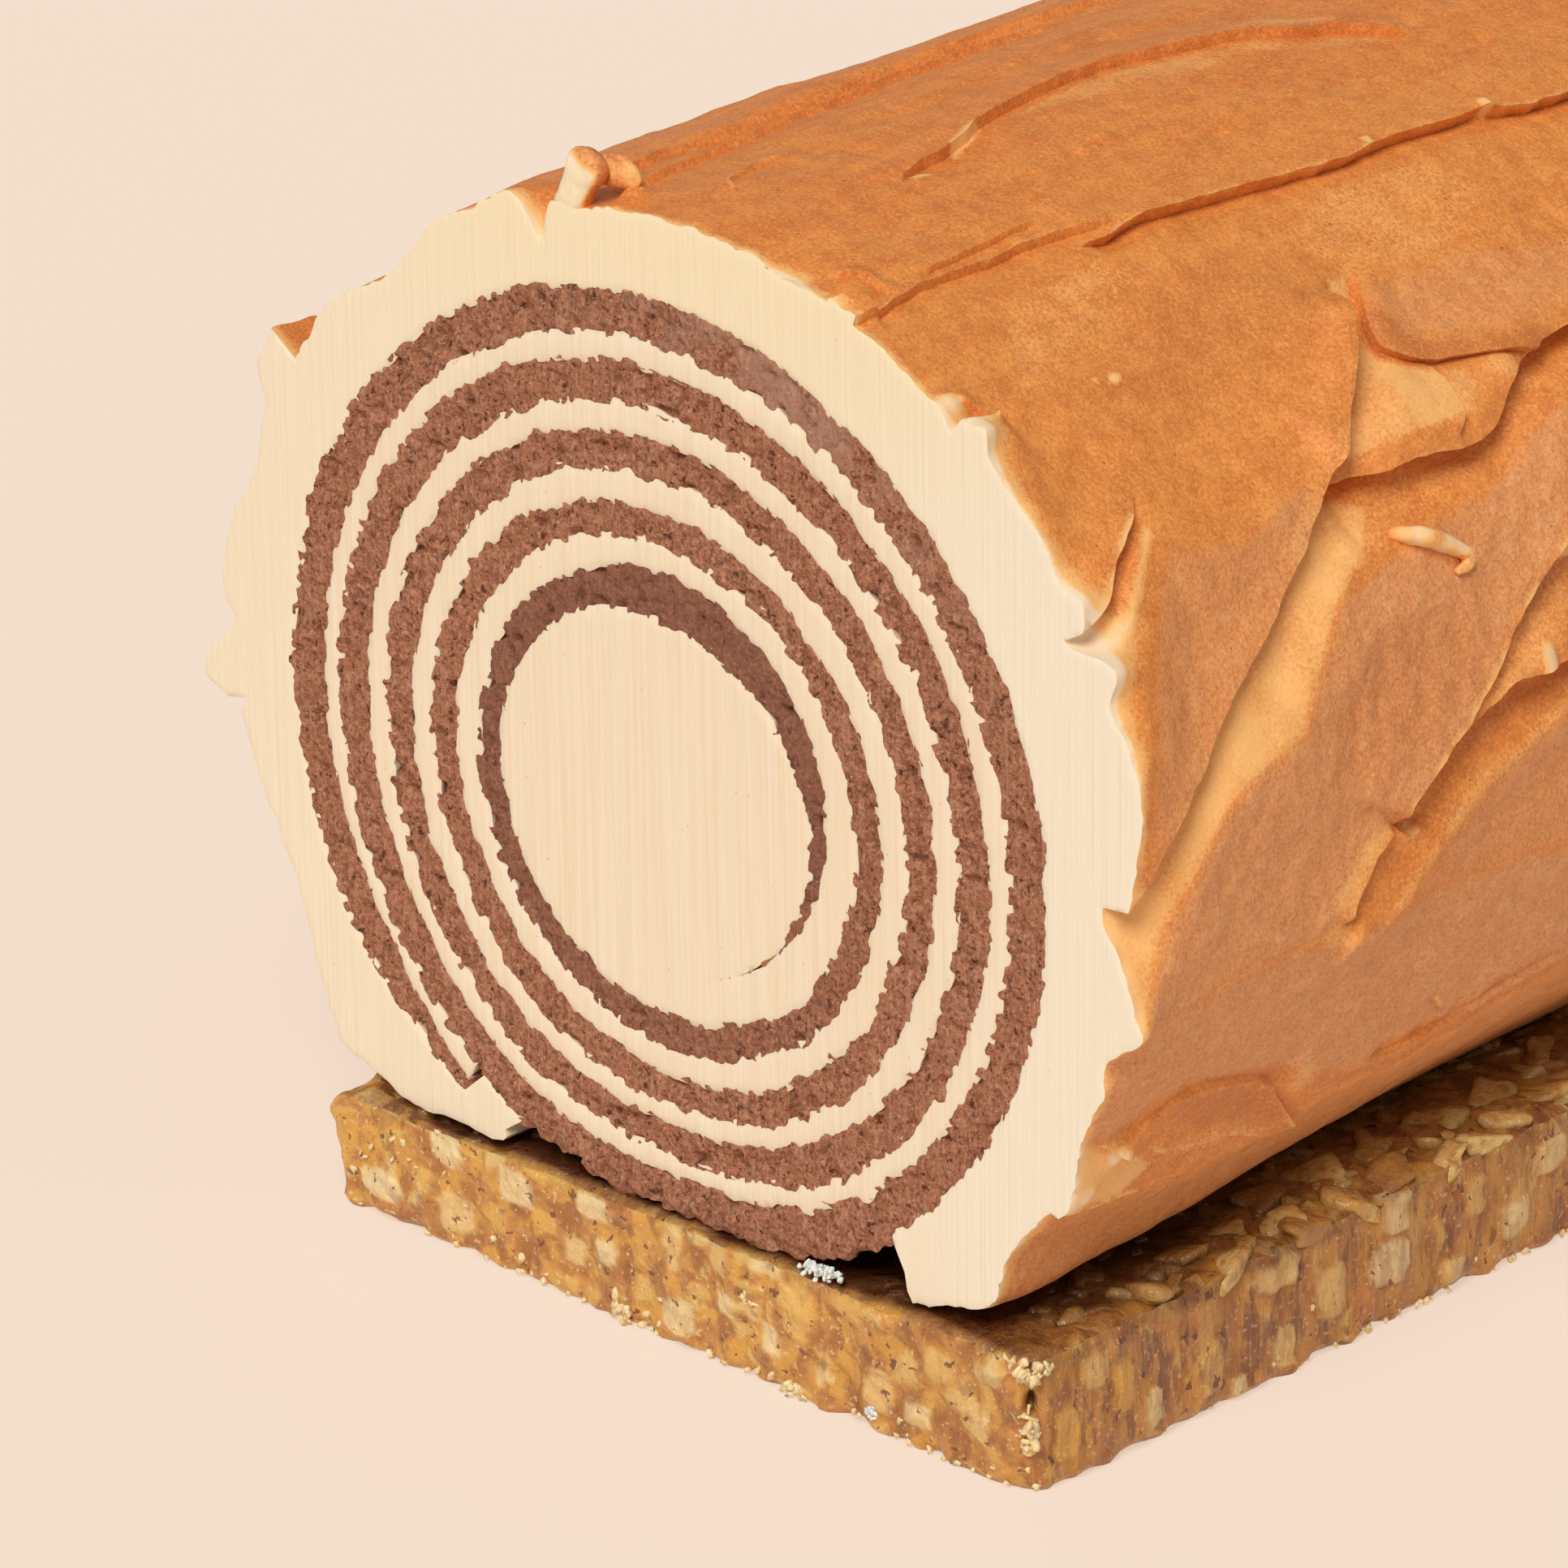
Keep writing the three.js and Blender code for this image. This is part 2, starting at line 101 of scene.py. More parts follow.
def make_piece(name, vertices, faces, material, attributes=None, sharp=None, replaced=None):
    """A piece of the cake from points in mm and lists of quads and triangles; it rides on the root."""
    mesh = bpy.data.meshes.new(name)
    vertices = np.asarray(vertices, float) * MM
    sizes = np.concatenate([np.full(len(f), np.shape(f)[1]) for f in faces]).astype(np.int32)
    corners = np.concatenate([np.asarray(f).ravel() for f in faces]).astype(np.int32)
    starts = np.concatenate([[0], np.cumsum(sizes)[:-1]]).astype(np.int32)
    mesh.vertices.add(len(vertices))
    mesh.vertices.foreach_set("co", vertices.astype(np.float32).ravel())
    mesh.loops.add(len(corners))
    mesh.loops.foreach_set("vertex_index", corners)
    mesh.polygons.add(len(sizes))
    mesh.polygons.foreach_set("loop_start", starts)
    mesh.polygons.foreach_set("use_smooth", np.ones(len(sizes), bool))
    mesh.update(calc_edges=True)
    mesh.validate()
    if sharp is not None:
        mesh.set_sharp_from_angle(angle=math.radians(sharp))
    for key, values in (attributes or {}).items():
        layer = mesh.attributes.new(key, "FLOAT", "POINT")
        layer.data.foreach_set("value", np.asarray(values, np.float32))
    mesh.materials.append(material)
    piece = bpy.data.objects.new(name, mesh)
    bpy.context.scene.collection.objects.link(piece)
    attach(piece, "root")
    if replaced:
        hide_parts(replaced)
    return piece


def grid_quads(index, flip=False):
    """Quads between neighbouring entries of a table of vertex indices."""
    a, b, c, d = index[:-1, :-1], index[:-1, 1:], index[1:, 1:], index[1:, :-1]
    quads = np.stack([a, d, c, b] if flip else [a, b, c, d], axis=-1)
    return quads.reshape(-1, 4)


# ---- Helpers: materials ----

PAINTED_SHADE_FACTOR = (0.15, 0.085, 0.062)  # what painted shade leaves of a colour


class Shader:
    """A node material. add() makes a node, and its inputs are values or other nodes' outputs."""

    def __init__(self, name):
        self.material = bpy.data.materials.new(name)
        self.material.use_nodes = True
        self.tree = self.material.node_tree
        self.tree.nodes.clear()
        coordinates = self.add("ShaderNodeTexCoord").outputs["Object"]
        self.mm = self.vector("SCALE", coordinates, scale=1 / MM)

    def add(self, kind, inputs=None, **settings):
        made = self.tree.nodes.new(kind)
        for key, value in settings.items():
            setattr(made, key, value)
        for key, value in (inputs or {}).items():
            if isinstance(value, bpy.types.NodeSocket):
                self.tree.links.new(value, made.inputs[key])
            else:
                made.inputs[key].default_value = value
        return made

    def vector(self, operation, a, b=None, scale=None):
        inputs = {0: a}
        if b is not None:
            inputs[1] = b
        if scale is not None:
            inputs["Scale"] = scale
        return self.add("ShaderNodeVectorMath", inputs, operation=operation).outputs[0]

    def math(self, operation, a, b=0.0, clamp=False):
        return self.add("ShaderNodeMath", {0: a, 1: b}, operation=operation, use_clamp=clamp).outputs[0]

    def times(self, a, b):
        return self.math("MULTIPLY", a, b)

    def plus(self, a, b):
        return self.math("ADD", a, b)

    def inverse(self, share):
        return self.math("SUBTRACT", 1.0, share)

    def place(self):
        """The x, y and z of each point in mm."""
        return self.add("ShaderNodeSeparateXYZ", {0: self.mm}).outputs

    def noise(self, size, detail=2.0, roughness=0.5, where=None):
        """Noise with lumps of the given size in mm."""
        inputs = {"Vector": where or self.mm, "Scale": 1 / size, "Detail": detail, "Roughness": roughness}
        return self.add("ShaderNodeTexNoise", inputs).outputs[0]

    def lines(self, size, detail, along):
        """Noise drawn out along the height: the less `along`, the longer its lines."""
        return self.noise(size, detail, where=self.stretch(1, 1, along))

    def cells(self, size, feature="F1", where=None, output="Distance"):
        inputs = {"Vector": where or self.mm, "Scale": 1 / size}
        return self.add("ShaderNodeTexVoronoi", inputs, feature=feature).outputs[output]

    def specks(self, spacing, outer, inner):
        """1 in small round specks, one to each cell of the given spacing, 0 around them."""
        return self.ramp(self.cells(spacing), outer, inner)

    def stretch(self, x, y, z):
        return self.vector("MULTIPLY", self.mm, (x, y, z))

    def warped(self, size, amount):
        """Coordinates pushed about by noise, for cells with uneven outlines."""
        color = self.add("ShaderNodeTexNoise", {"Vector": self.mm, "Scale": 1 / size}).outputs["Color"]
        offset = self.vector("SCALE", self.vector("SUBTRACT", color, (0.5, 0.5, 0.5)), scale=amount)
        return self.vector("ADD", self.mm, offset)

    def ramp(self, value, low, high):
        """0 at low, 1 at high."""
        inputs = {"Value": value, "From Min": low, "From Max": high}
        return self.add("ShaderNodeMapRange", inputs, interpolation_type="SMOOTHSTEP").outputs[0]

    def mix(self, factor, a, b, blend="MIX"):
        made = self.add("ShaderNodeMix", {"Factor": factor}, data_type="RGBA", blend_type=blend)
        for key, value in ((6, a), (7, b)):
            if isinstance(value, bpy.types.NodeSocket):
                self.tree.links.new(value, made.inputs[key])
            else:
                made.inputs[key].default_value = (*value, 1)
        return made.outputs[2]

    def tint(self, color, share, strength, other):
        """The colour, mixed with another one by the share times the strength."""
        return self.mix(self.times(share, strength), color, other)

    def with_painted_shade(self, color, painted_shade):
        """The colour, darkened by painted shade where its share is 1."""
        return self.mix(painted_shade, color, self.mix(1.0, color, PAINTED_SHADE_FACTOR, blend="MULTIPLY"))

    def attributes(self, *names):
        """Values from 0 to 1 that the mesh carries, by their names."""
        return [self.add("ShaderNodeAttribute", attribute_name=name).outputs["Fac"] for name in names]

    def bump(self, height, distance, strength=1.0, normal=None):
        inputs = {"Height": height, "Distance": distance * MM, "Strength": strength}
        if normal is not None:
            inputs["Normal"] = normal
        return self.add("ShaderNodeBump", inputs).outputs[0]

    def finish(self, **sockets):
        inputs = {key.replace("_", " "): value for key, value in sockets.items()}
        shader = self.add("ShaderNodeBsdfPrincipled", inputs)
        self.add("ShaderNodeOutputMaterial", {"Surface": shader.outputs[0]})
        return self.material


# ---- The spiral section of the roll, as in the solids ----

ROLL_CENTRE_X, ROLL_CENTRE_Z = 1.25, 50.25
ROLL_START_RADIUS = 17.26
ROLL_PITCH = 5.74
ROLL_TURNS = 5
ROLL_OVAL, ROLL_OVAL_ANGLE = 0.7, 17
CORE_OFFSET_X, CORE_OFFSET_Z = -0.66, -1.12
SPONGE_START, SPONGE_END = -75, 1674
SPONGE_THICKNESS, SPONGE_THICKENING = 3.1, 0.28
FIRST_TURN_SWELL, FIRST_TURN_SWELL_ANGLE, FIRST_TURN_SWELL_SPAN = 1.7, 75, 50
START_TAPER_SPAN = 120
TAIL_PINCH, TAIL_PINCH_SPAN = 1.05, 40
TAIL_THINNING, TAIL_THINNING_SPAN = 0.62, 22
REST_SQUASH, REST_SQUASH_DEPTH, REST_SQUASH_HEIGHT, REST_SQUASH_HALF_WIDTH = 2.2, 27, 13.4, 14
SPIRAL_STEP = 0.29  # spacing of the points along the sponge's edges, mm
MARGIN = 0.45  # how far the sponge's cut end runs under the cream's edge
INTRUSION = 0.5  # how far the cream's cut end runs into the sponge's edge
EDGE_DIP = 0.4  # both cut ends dip by this share of the way past their common edge
CHANNEL_SHARE = 0.36  # the margin takes no more than this share of the cream between two turns
STRIP_SHARE = 0.4  # and the intrusion no more than this share of the sponge's thickness
SPONGE_SPACING, CREAM_SPACING = 0.3, 0.5  # mm between the points of the cut ends
EDGE_CLEARANCE = 0.2  # how far those points keep off the edge


def squash(x, z):
    """How far a point of the roll is pushed up, as the roll rests on the slab."""
    depth = np.maximum(ROLL_CENTRE_Z - z - REST_SQUASH_DEPTH, 0)
    across = np.exp(-(((x - ROLL_CENTRE_X) / REST_SQUASH_HALF_WIDTH) ** 2))
    return REST_SQUASH * (depth / REST_SQUASH_HEIGHT) * across


def roll_point(angle, radius):
    """The x and z of a point of the roll."""
    x = ROLL_CENTRE_X + radius * np.cos(np.radians(angle))
    z = ROLL_CENTRE_Z + radius * np.sin(np.radians(angle))
    return np.stack([x, z + squash(x, z)], axis=-1)


def sponge_thickness(angle):
    swell = np.exp(-(((angle - FIRST_TURN_SWELL_ANGLE) / FIRST_TURN_SWELL_SPAN) ** 2))
    full = SPONGE_THICKNESS + SPONGE_THICKENING * (angle / 360) + FIRST_TURN_SWELL * swell
    start = smooth(angle, SPONGE_START, SPONGE_START + START_TAPER_SPAN)
    tail = 1 - TAIL_THINNING * smooth(angle, SPONGE_END - TAIL_THINNING_SPAN, SPONGE_END)
    return full * start * tail


def sponge_middle(angle):
    turn = angle / 360
    a = np.radians(angle)
    offset = (1 - turn / ROLL_TURNS) * (CORE_OFFSET_X * np.cos(a) + CORE_OFFSET_Z * np.sin(a))
    oval = ROLL_OVAL * np.cos(2 * (a - math.radians(ROLL_OVAL_ANGLE)))
    pinch = TAIL_PINCH * smooth(angle, SPONGE_END - TAIL_PINCH_SPAN, SPONGE_END)
    return ROLL_START_RADIUS + ROLL_PITCH * turn + oval + offset - pinch


def sponge_outer(angle):
    return sponge_middle(angle) + sponge_thickness(angle) / 2


def sponge_inner(angle):
    return sponge_middle(angle) - sponge_thickness(angle) / 2


def raggedness(points):
    """How far the sponge's torn edge stands out of its smooth line, at points of the section."""
    where = flat3(points[..., 0], points[..., 1])
    foot = 1 + 0.9 * smooth(-points[..., 1], -24, -13)
    wave = layered_noise(where, (0.15, 2.6, 11), (0.1, 1.1, 12), (0.1, 0.6, 14))
    spikes = np.maximum(noise(where, 3.4, 13) - 0.5, 0) * 1.1
    bumps = np.maximum(noise(where, 1.9, 15) - 0.5, 0) * 0.8
    return wave * foot - spikes + bumps


def thin_share(angle, full_at=1.3):
    """1 where the sponge is thick enough for its whole ragged edge, less towards its thin start and
    on both sides of the narrow cream beside its tail."""
    by_tail = sum(between(angle, (end - 44, end - 24), (end, end + 10))
                  for end in (SPONGE_END, SPONGE_END - 360))
    return np.clip(sponge_thickness(angle) / full_at, 0, 1) * (1 - 0.6 * by_tail)


def sponge_field(x, z):
    """Distance from the sponge's ragged edge, below 0 inside it, and the nearest spiral angle."""
    flat_z = z.copy()
    for _ in range(4):
        flat_z = z - squash(x, flat_z)
    radius = np.hypot(x - ROLL_CENTRE_X, flat_z - ROLL_CENTRE_Z)
    angle = np.degrees(np.arctan2(flat_z - ROLL_CENTRE_Z, x - ROLL_CENTRE_X)) % 360
    nearest = np.full(x.shape, np.inf)
    nearest_angle = np.zeros(x.shape)
    for turn in range(-1, ROLL_TURNS):
        t = angle + 360 * turn
        distance = np.abs(radius - sponge_middle(t)) - sponge_thickness(t) / 2
        distance = np.where((t >= SPONGE_START) & (t <= SPONGE_END), distance, np.inf)
        closer = distance < nearest
        nearest = np.where(closer, distance, nearest)
        nearest_angle = np.where(closer, t, nearest_angle)
    ragged = raggedness(np.stack([x, z], axis=-1)) * thin_share(nearest_angle)
    return nearest - ragged, nearest_angle


def field_at(points):
    """The same, at points given as x and z."""
    return sponge_field(points[:, 0], points[:, 1])


def even_angles(start, end):
    """Spiral angles from start to end, a fixed distance apart along the roll."""
    angles = [start]
    while angles[-1] < end:
        angles.append(angles[-1] + math.degrees(SPIRAL_STEP / sponge_middle(angles[-1])))
    return np.array(angles[:-1] + [end])


def edge_line(angles, side, reach):
    """The sponge's ragged edge, outer for side 1 and inner for -1, moved outwards by reach."""
    radius = sponge_middle(angles) + side * sponge_thickness(angles) / 2
    ragged = raggedness(roll_point(angles, radius)) * thin_share(angles)
    return roll_point(angles, radius + side * (ragged + reach))


def cream_channel(angles):
    """Width of the cream between a turn of the sponge and the next one."""
    return sponge_inner(angles + 360) - sponge_outer(angles)


def triangulate(outline, spacing, keep_off, seed):
    """Triangles inside an outline, with scattered points between, clear of its edge."""
    draw = np.random.default_rng(seed)
    low, high = outline.min(0), outline.max(0)
    nx, nz = np.ceil((high - low) / spacing).astype(int)
    gx, gz = np.meshgrid(np.arange(nx), np.arange(nz), indexing="ij")
    inside = low + (np.stack([gx, gz], axis=-1).reshape(-1, 2) + 0.5) * spacing
    inside += draw.uniform(-0.32, 0.32, inside.shape) * spacing
    inside = inside[keep_off(inside)]
    points = np.vstack([outline, inside]).tolist()
    found = delaunay_2d_cdt(points, [], [list(range(len(outline)))], 1, 1e-6)
    return tidy_triangles(found)


WALL_DEPTH = 1.6  # the two cut ends' ragged edges settle to the smooth wall over this depth


def section_solid(points, triangles, front_depth, back_depth, draw_in):
    """A closed body along the log from one triangulated section, as points and faces. The depths say
    how far each point lies behind the two cut planes, and draw_in how far the walls are drawn in."""
    count = len(points)
    directed = np.concatenate([triangles[:, [0, 1]], triangles[:, [1, 2]], triangles[:, [2, 0]]])
    keys = directed[:, 0] * count + directed[:, 1]
    reverse = directed[:, 1] * count + directed[:, 0]
    border = directed[~np.isin(keys, reverse)]
    along = points[border[:, 1]] - points[border[:, 0]]
    along /= np.maximum(np.linalg.norm(along, axis=1, keepdims=True), 1e-9)
    outward = np.zeros((count, 2))
    for i in range(2):
        np.add.at(outward, border[:, i], np.stack([along[:, 1], -along[:, 0]], axis=-1))
    outward /= np.maximum(np.linalg.norm(outward, axis=1, keepdims=True), 1e-9)
    rim = np.unique(border)
    place = np.full(count, -1)
    place[rim] = np.arange(len(rim))
    drawn = points[rim] - outward[rim] * draw_in[rim, None]
    half = LOG_LENGTH / 2
    layers = [
        (points, front_depth - half),
        (drawn, np.full(len(rim), WALL_DEPTH - half)),
        (drawn, np.full(len(rim), half - WALL_DEPTH)),
        (points, half - back_depth),
    ]
    vertices = np.vstack([np.stack([p[:, 0], y, p[:, 1]], axis=-1) for p, y in layers])
    starts = np.cumsum([0] + [len(p) for p, _ in layers])
    rings = [border + starts[0], place[border] + starts[1], place[border] + starts[2],
             border + starts[3]]
    quads = [np.stack([r[:, 0], n[:, 0], n[:, 1], r[:, 1]], axis=-1) for r, n in zip(rings, rings[1:])]
    return vertices, [triangles, triangles[:, ::-1] + starts[3], np.concatenate(quads)]


def crumb_depth(where, seed):
    """The crumb's own roughness on a cut end, with pores."""
    pores = np.maximum(noise(where, 1.25, seed + 3) - 0.42, 0) * 1.6
    fine_pores = np.maximum(noise(where, 0.75, seed + 4) - 0.35, 0) * 0.7
    return layered_noise(where, (0.09, 0.85, seed), (0.08, 0.5, seed + 1)) + pores + fine_pores


def sponge_depth(points, field, seed):
    where = flat3(points[:, 0], points[:, 1])
    lumps = 0.06 * noise(where, 3.5, seed + 5)
    return 0.07 + EDGE_DIP * np.maximum(field + 0.1, 0) + lumps + crumb_depth(where, seed)


def cream_depth(points, field, seed):
    where = flat3(points[:, 0] * 4, points[:, 1] * 0.25)
    drag = 0.02 * noise(where, 2.0, seed)
    return 0.03 + EDGE_DIP * np.clip(0.08 - field, 0, 1) + drag


def build_sponge():
    angles = even_angles(SPONGE_START + 6, SPONGE_END)
    room_out = np.where(angles + 360 < SPONGE_END, cream_channel(angles), 9)
    room_in = np.where(angles - 360 > SPONGE_START, cream_channel(angles - 360), 9)
    reach_out, reach_in = (
        np.minimum(MARGIN * thin_share(angles, 1.0), CHANNEL_SHARE * np.maximum(room, 0.05))
        for room in (room_out, room_in))
    outline = np.vstack([edge_line(angles, 1, reach_out), edge_line(angles, -1, reach_in)[::-1]])
    points, triangles = triangulate(outline, SPONGE_SPACING,
                                    lambda p: field_at(p)[0] < MARGIN - EDGE_CLEARANCE, 31)
    field, nearest = field_at(points)
    front, back = (sponge_depth(points, field, seed) for seed in (40, 60))
    draw_in = MARGIN * thin_share(nearest, 1.0) * 0.8
    vertices, faces = section_solid(points, triangles, front, back, draw_in)
    x, z = vertices[:, 0], vertices[:, 2]
    _, nearest = sponge_field(x, z)
    # Where the knife smeared cream over the outermost turn, near its top
    smear = smooth(nearest, SPONGE_END - 320, SPONGE_END - 300) * np.exp(-(((nearest % 360 - 68) / 26) ** 2))
    smear *= smooth(noise(flat3(x, z), 3.0, 71), -0.6, 0.5)
    inner_turn = 1 - smooth(nearest, 150, 420)
    tip = 1 - smooth(nearest, SPONGE_START + 6, SPONGE_START + 62)
    attributes = {"smear": smear, "inner_turn": inner_turn, "tip": tip}
    make_piece("sponge", vertices, faces, sponge_material(), attributes,
               sharp=60, replaced="sponge_roll")


def build_filling():
    last = SPONGE_END - 0.4
    angles = even_angles(SPONGE_START, last)
    inner_angles = angles[angles <= last - 360]
    outside, inside = (edge_line(a, side, -np.minimum(INTRUSION, STRIP_SHARE * sponge_thickness(a)))
                       for a, side in ((angles, -1), (inner_angles, 1)))
    slit = roll_point(np.array([SPONGE_START - 1.0]), sponge_middle(np.array([float(SPONGE_START)])))
    outline = np.vstack([slit, outside[1:], inside[:0:-1]])
    points, triangles = triangulate(outline, CREAM_SPACING,
                                    lambda p: field_at(p)[0] > EDGE_CLEARANCE - INTRUSION, 32)
    field, nearest = field_at(points)
    front, back = (cream_depth(points, field, seed) for seed in (80, 85))
    draw_in = np.minimum(INTRUSION, STRIP_SHARE * sponge_thickness(nearest)) * 0.9
    vertices, faces = section_solid(points, triangles, front, back, draw_in)
    make_piece("cream_filling_cut", vertices, faces, filling_material(),
               sharp=60, replaced="cream_filling")


# ---- The bark's relief ----

COAT_CENTRE_Z = 51.15
COAT_RADIUS = 51
COAT_OVAL, COAT_OVAL_ANGLE = 2.3, 22
COAT_RIGHT_FOOT, COAT_LEFT_FOOT = -57.5, 246
FOOT_FADE_SPAN = 14
FOOT_ARCH = 0.4
GAP = 0.3
SLAB_THICKNESS, SLAB_TOP_SLOPE = 11.5, 0.022
CRISP_STEP = 0.55  # creases at least this high have a crisp edge
STRONG_STEP = 1.3  # and those at least this high hang over
STEP_SOFTNESS = 0.13  # half the width of a crisp step
SOFT_STEP = 0.4  # and of a low one's
SLOPE_SOFTNESS = 0.12
OVERHANG_REACH = 1.3  # how far inland an overhanging edge is moved
ROUNDING_REACH = 1.6  # and a rounded one is lowered
LIP_RISE, LIP_WIDTH = 0.16, 0.9  # an overhanging edge stands up by this over this width
PALE_WIDTH = 0.55  # width of the pale line along an edge
RIM_REACH = 1.1  # the cut ends' rims are rough over about this depth


def slab_top(x):
    return SLAB_THICKNESS + SLAB_TOP_SLOPE * x


def rounded_line(points, pieces=6):
    """A smooth line through the points (a Catmull-Rom curve)."""
    p = np.array(points, float)
    p = np.vstack([2 * p[0] - p[1], p, 2 * p[-1] - p[-2]])
    line = []
    for a, b, c, d in zip(p, p[1:], p[2:], p[3:]):
        for t in np.arange(pieces) / pieces:
            line.append(0.5 * (2 * b + (c - a) * t + (2 * a - 5 * b + 4 * c - d) * t**2
                               + (3 * b - a - 3 * c + d) * t**3))
    return np.vstack([*line, p[-2]])


def pair(value):
    """The values at a line's start and end, which one number gives for both."""
    return value if isinstance(value, (list, tuple)) else (value, value)


def crease(points, above, above_width, below, below_width, fade=(6, 6), overhang=0.5, pale=0.0,
           bare=0.0, rounding=0.0):
    """A line that the knife left. The surface rises by `above` on the side with the larger angles
    and by `below` on the other, in slopes that run out over a width; a pair gives the values at
    the line's start and end. The higher side hangs over by `overhang`, and its edge is rounded off
    by `rounding`. The spray is thin along its edge by the share `pale`, and on the lower side's
    slope by the share `bare`."""
    line = rounded_line([(y, math.radians(angle) * COAT_RADIUS) for y, angle in points])
    lengths = np.linalg.norm(np.diff(line, axis=0), axis=1)
    above, below = pair(above), pair(below)
    step = max(abs(a - b) for a, b in zip(above, below))
    return {
        "line": line, "starts": np.concatenate([[0], np.cumsum(lengths)]), "total": lengths.sum(),
        "above": above, "below": below, "above_width": pair(above_width),
        "below_width": pair(below_width), "fade": fade, "step": step,
        "overhang": overhang if step >= STRONG_STEP else 0, "pale": pale, "bare": bare,
        "rounding": rounding,
    }


def ridge(points, height, above_width, below_width, fade=(6, 6)):
    """A convex bend between two of the knife's flat strokes."""
    return crease(points, height, above_width, height, below_width, fade)


SHOWN_LENGTH, SHOWN_TOP = 84, 100  # the listed creases reach this far along the log and round it

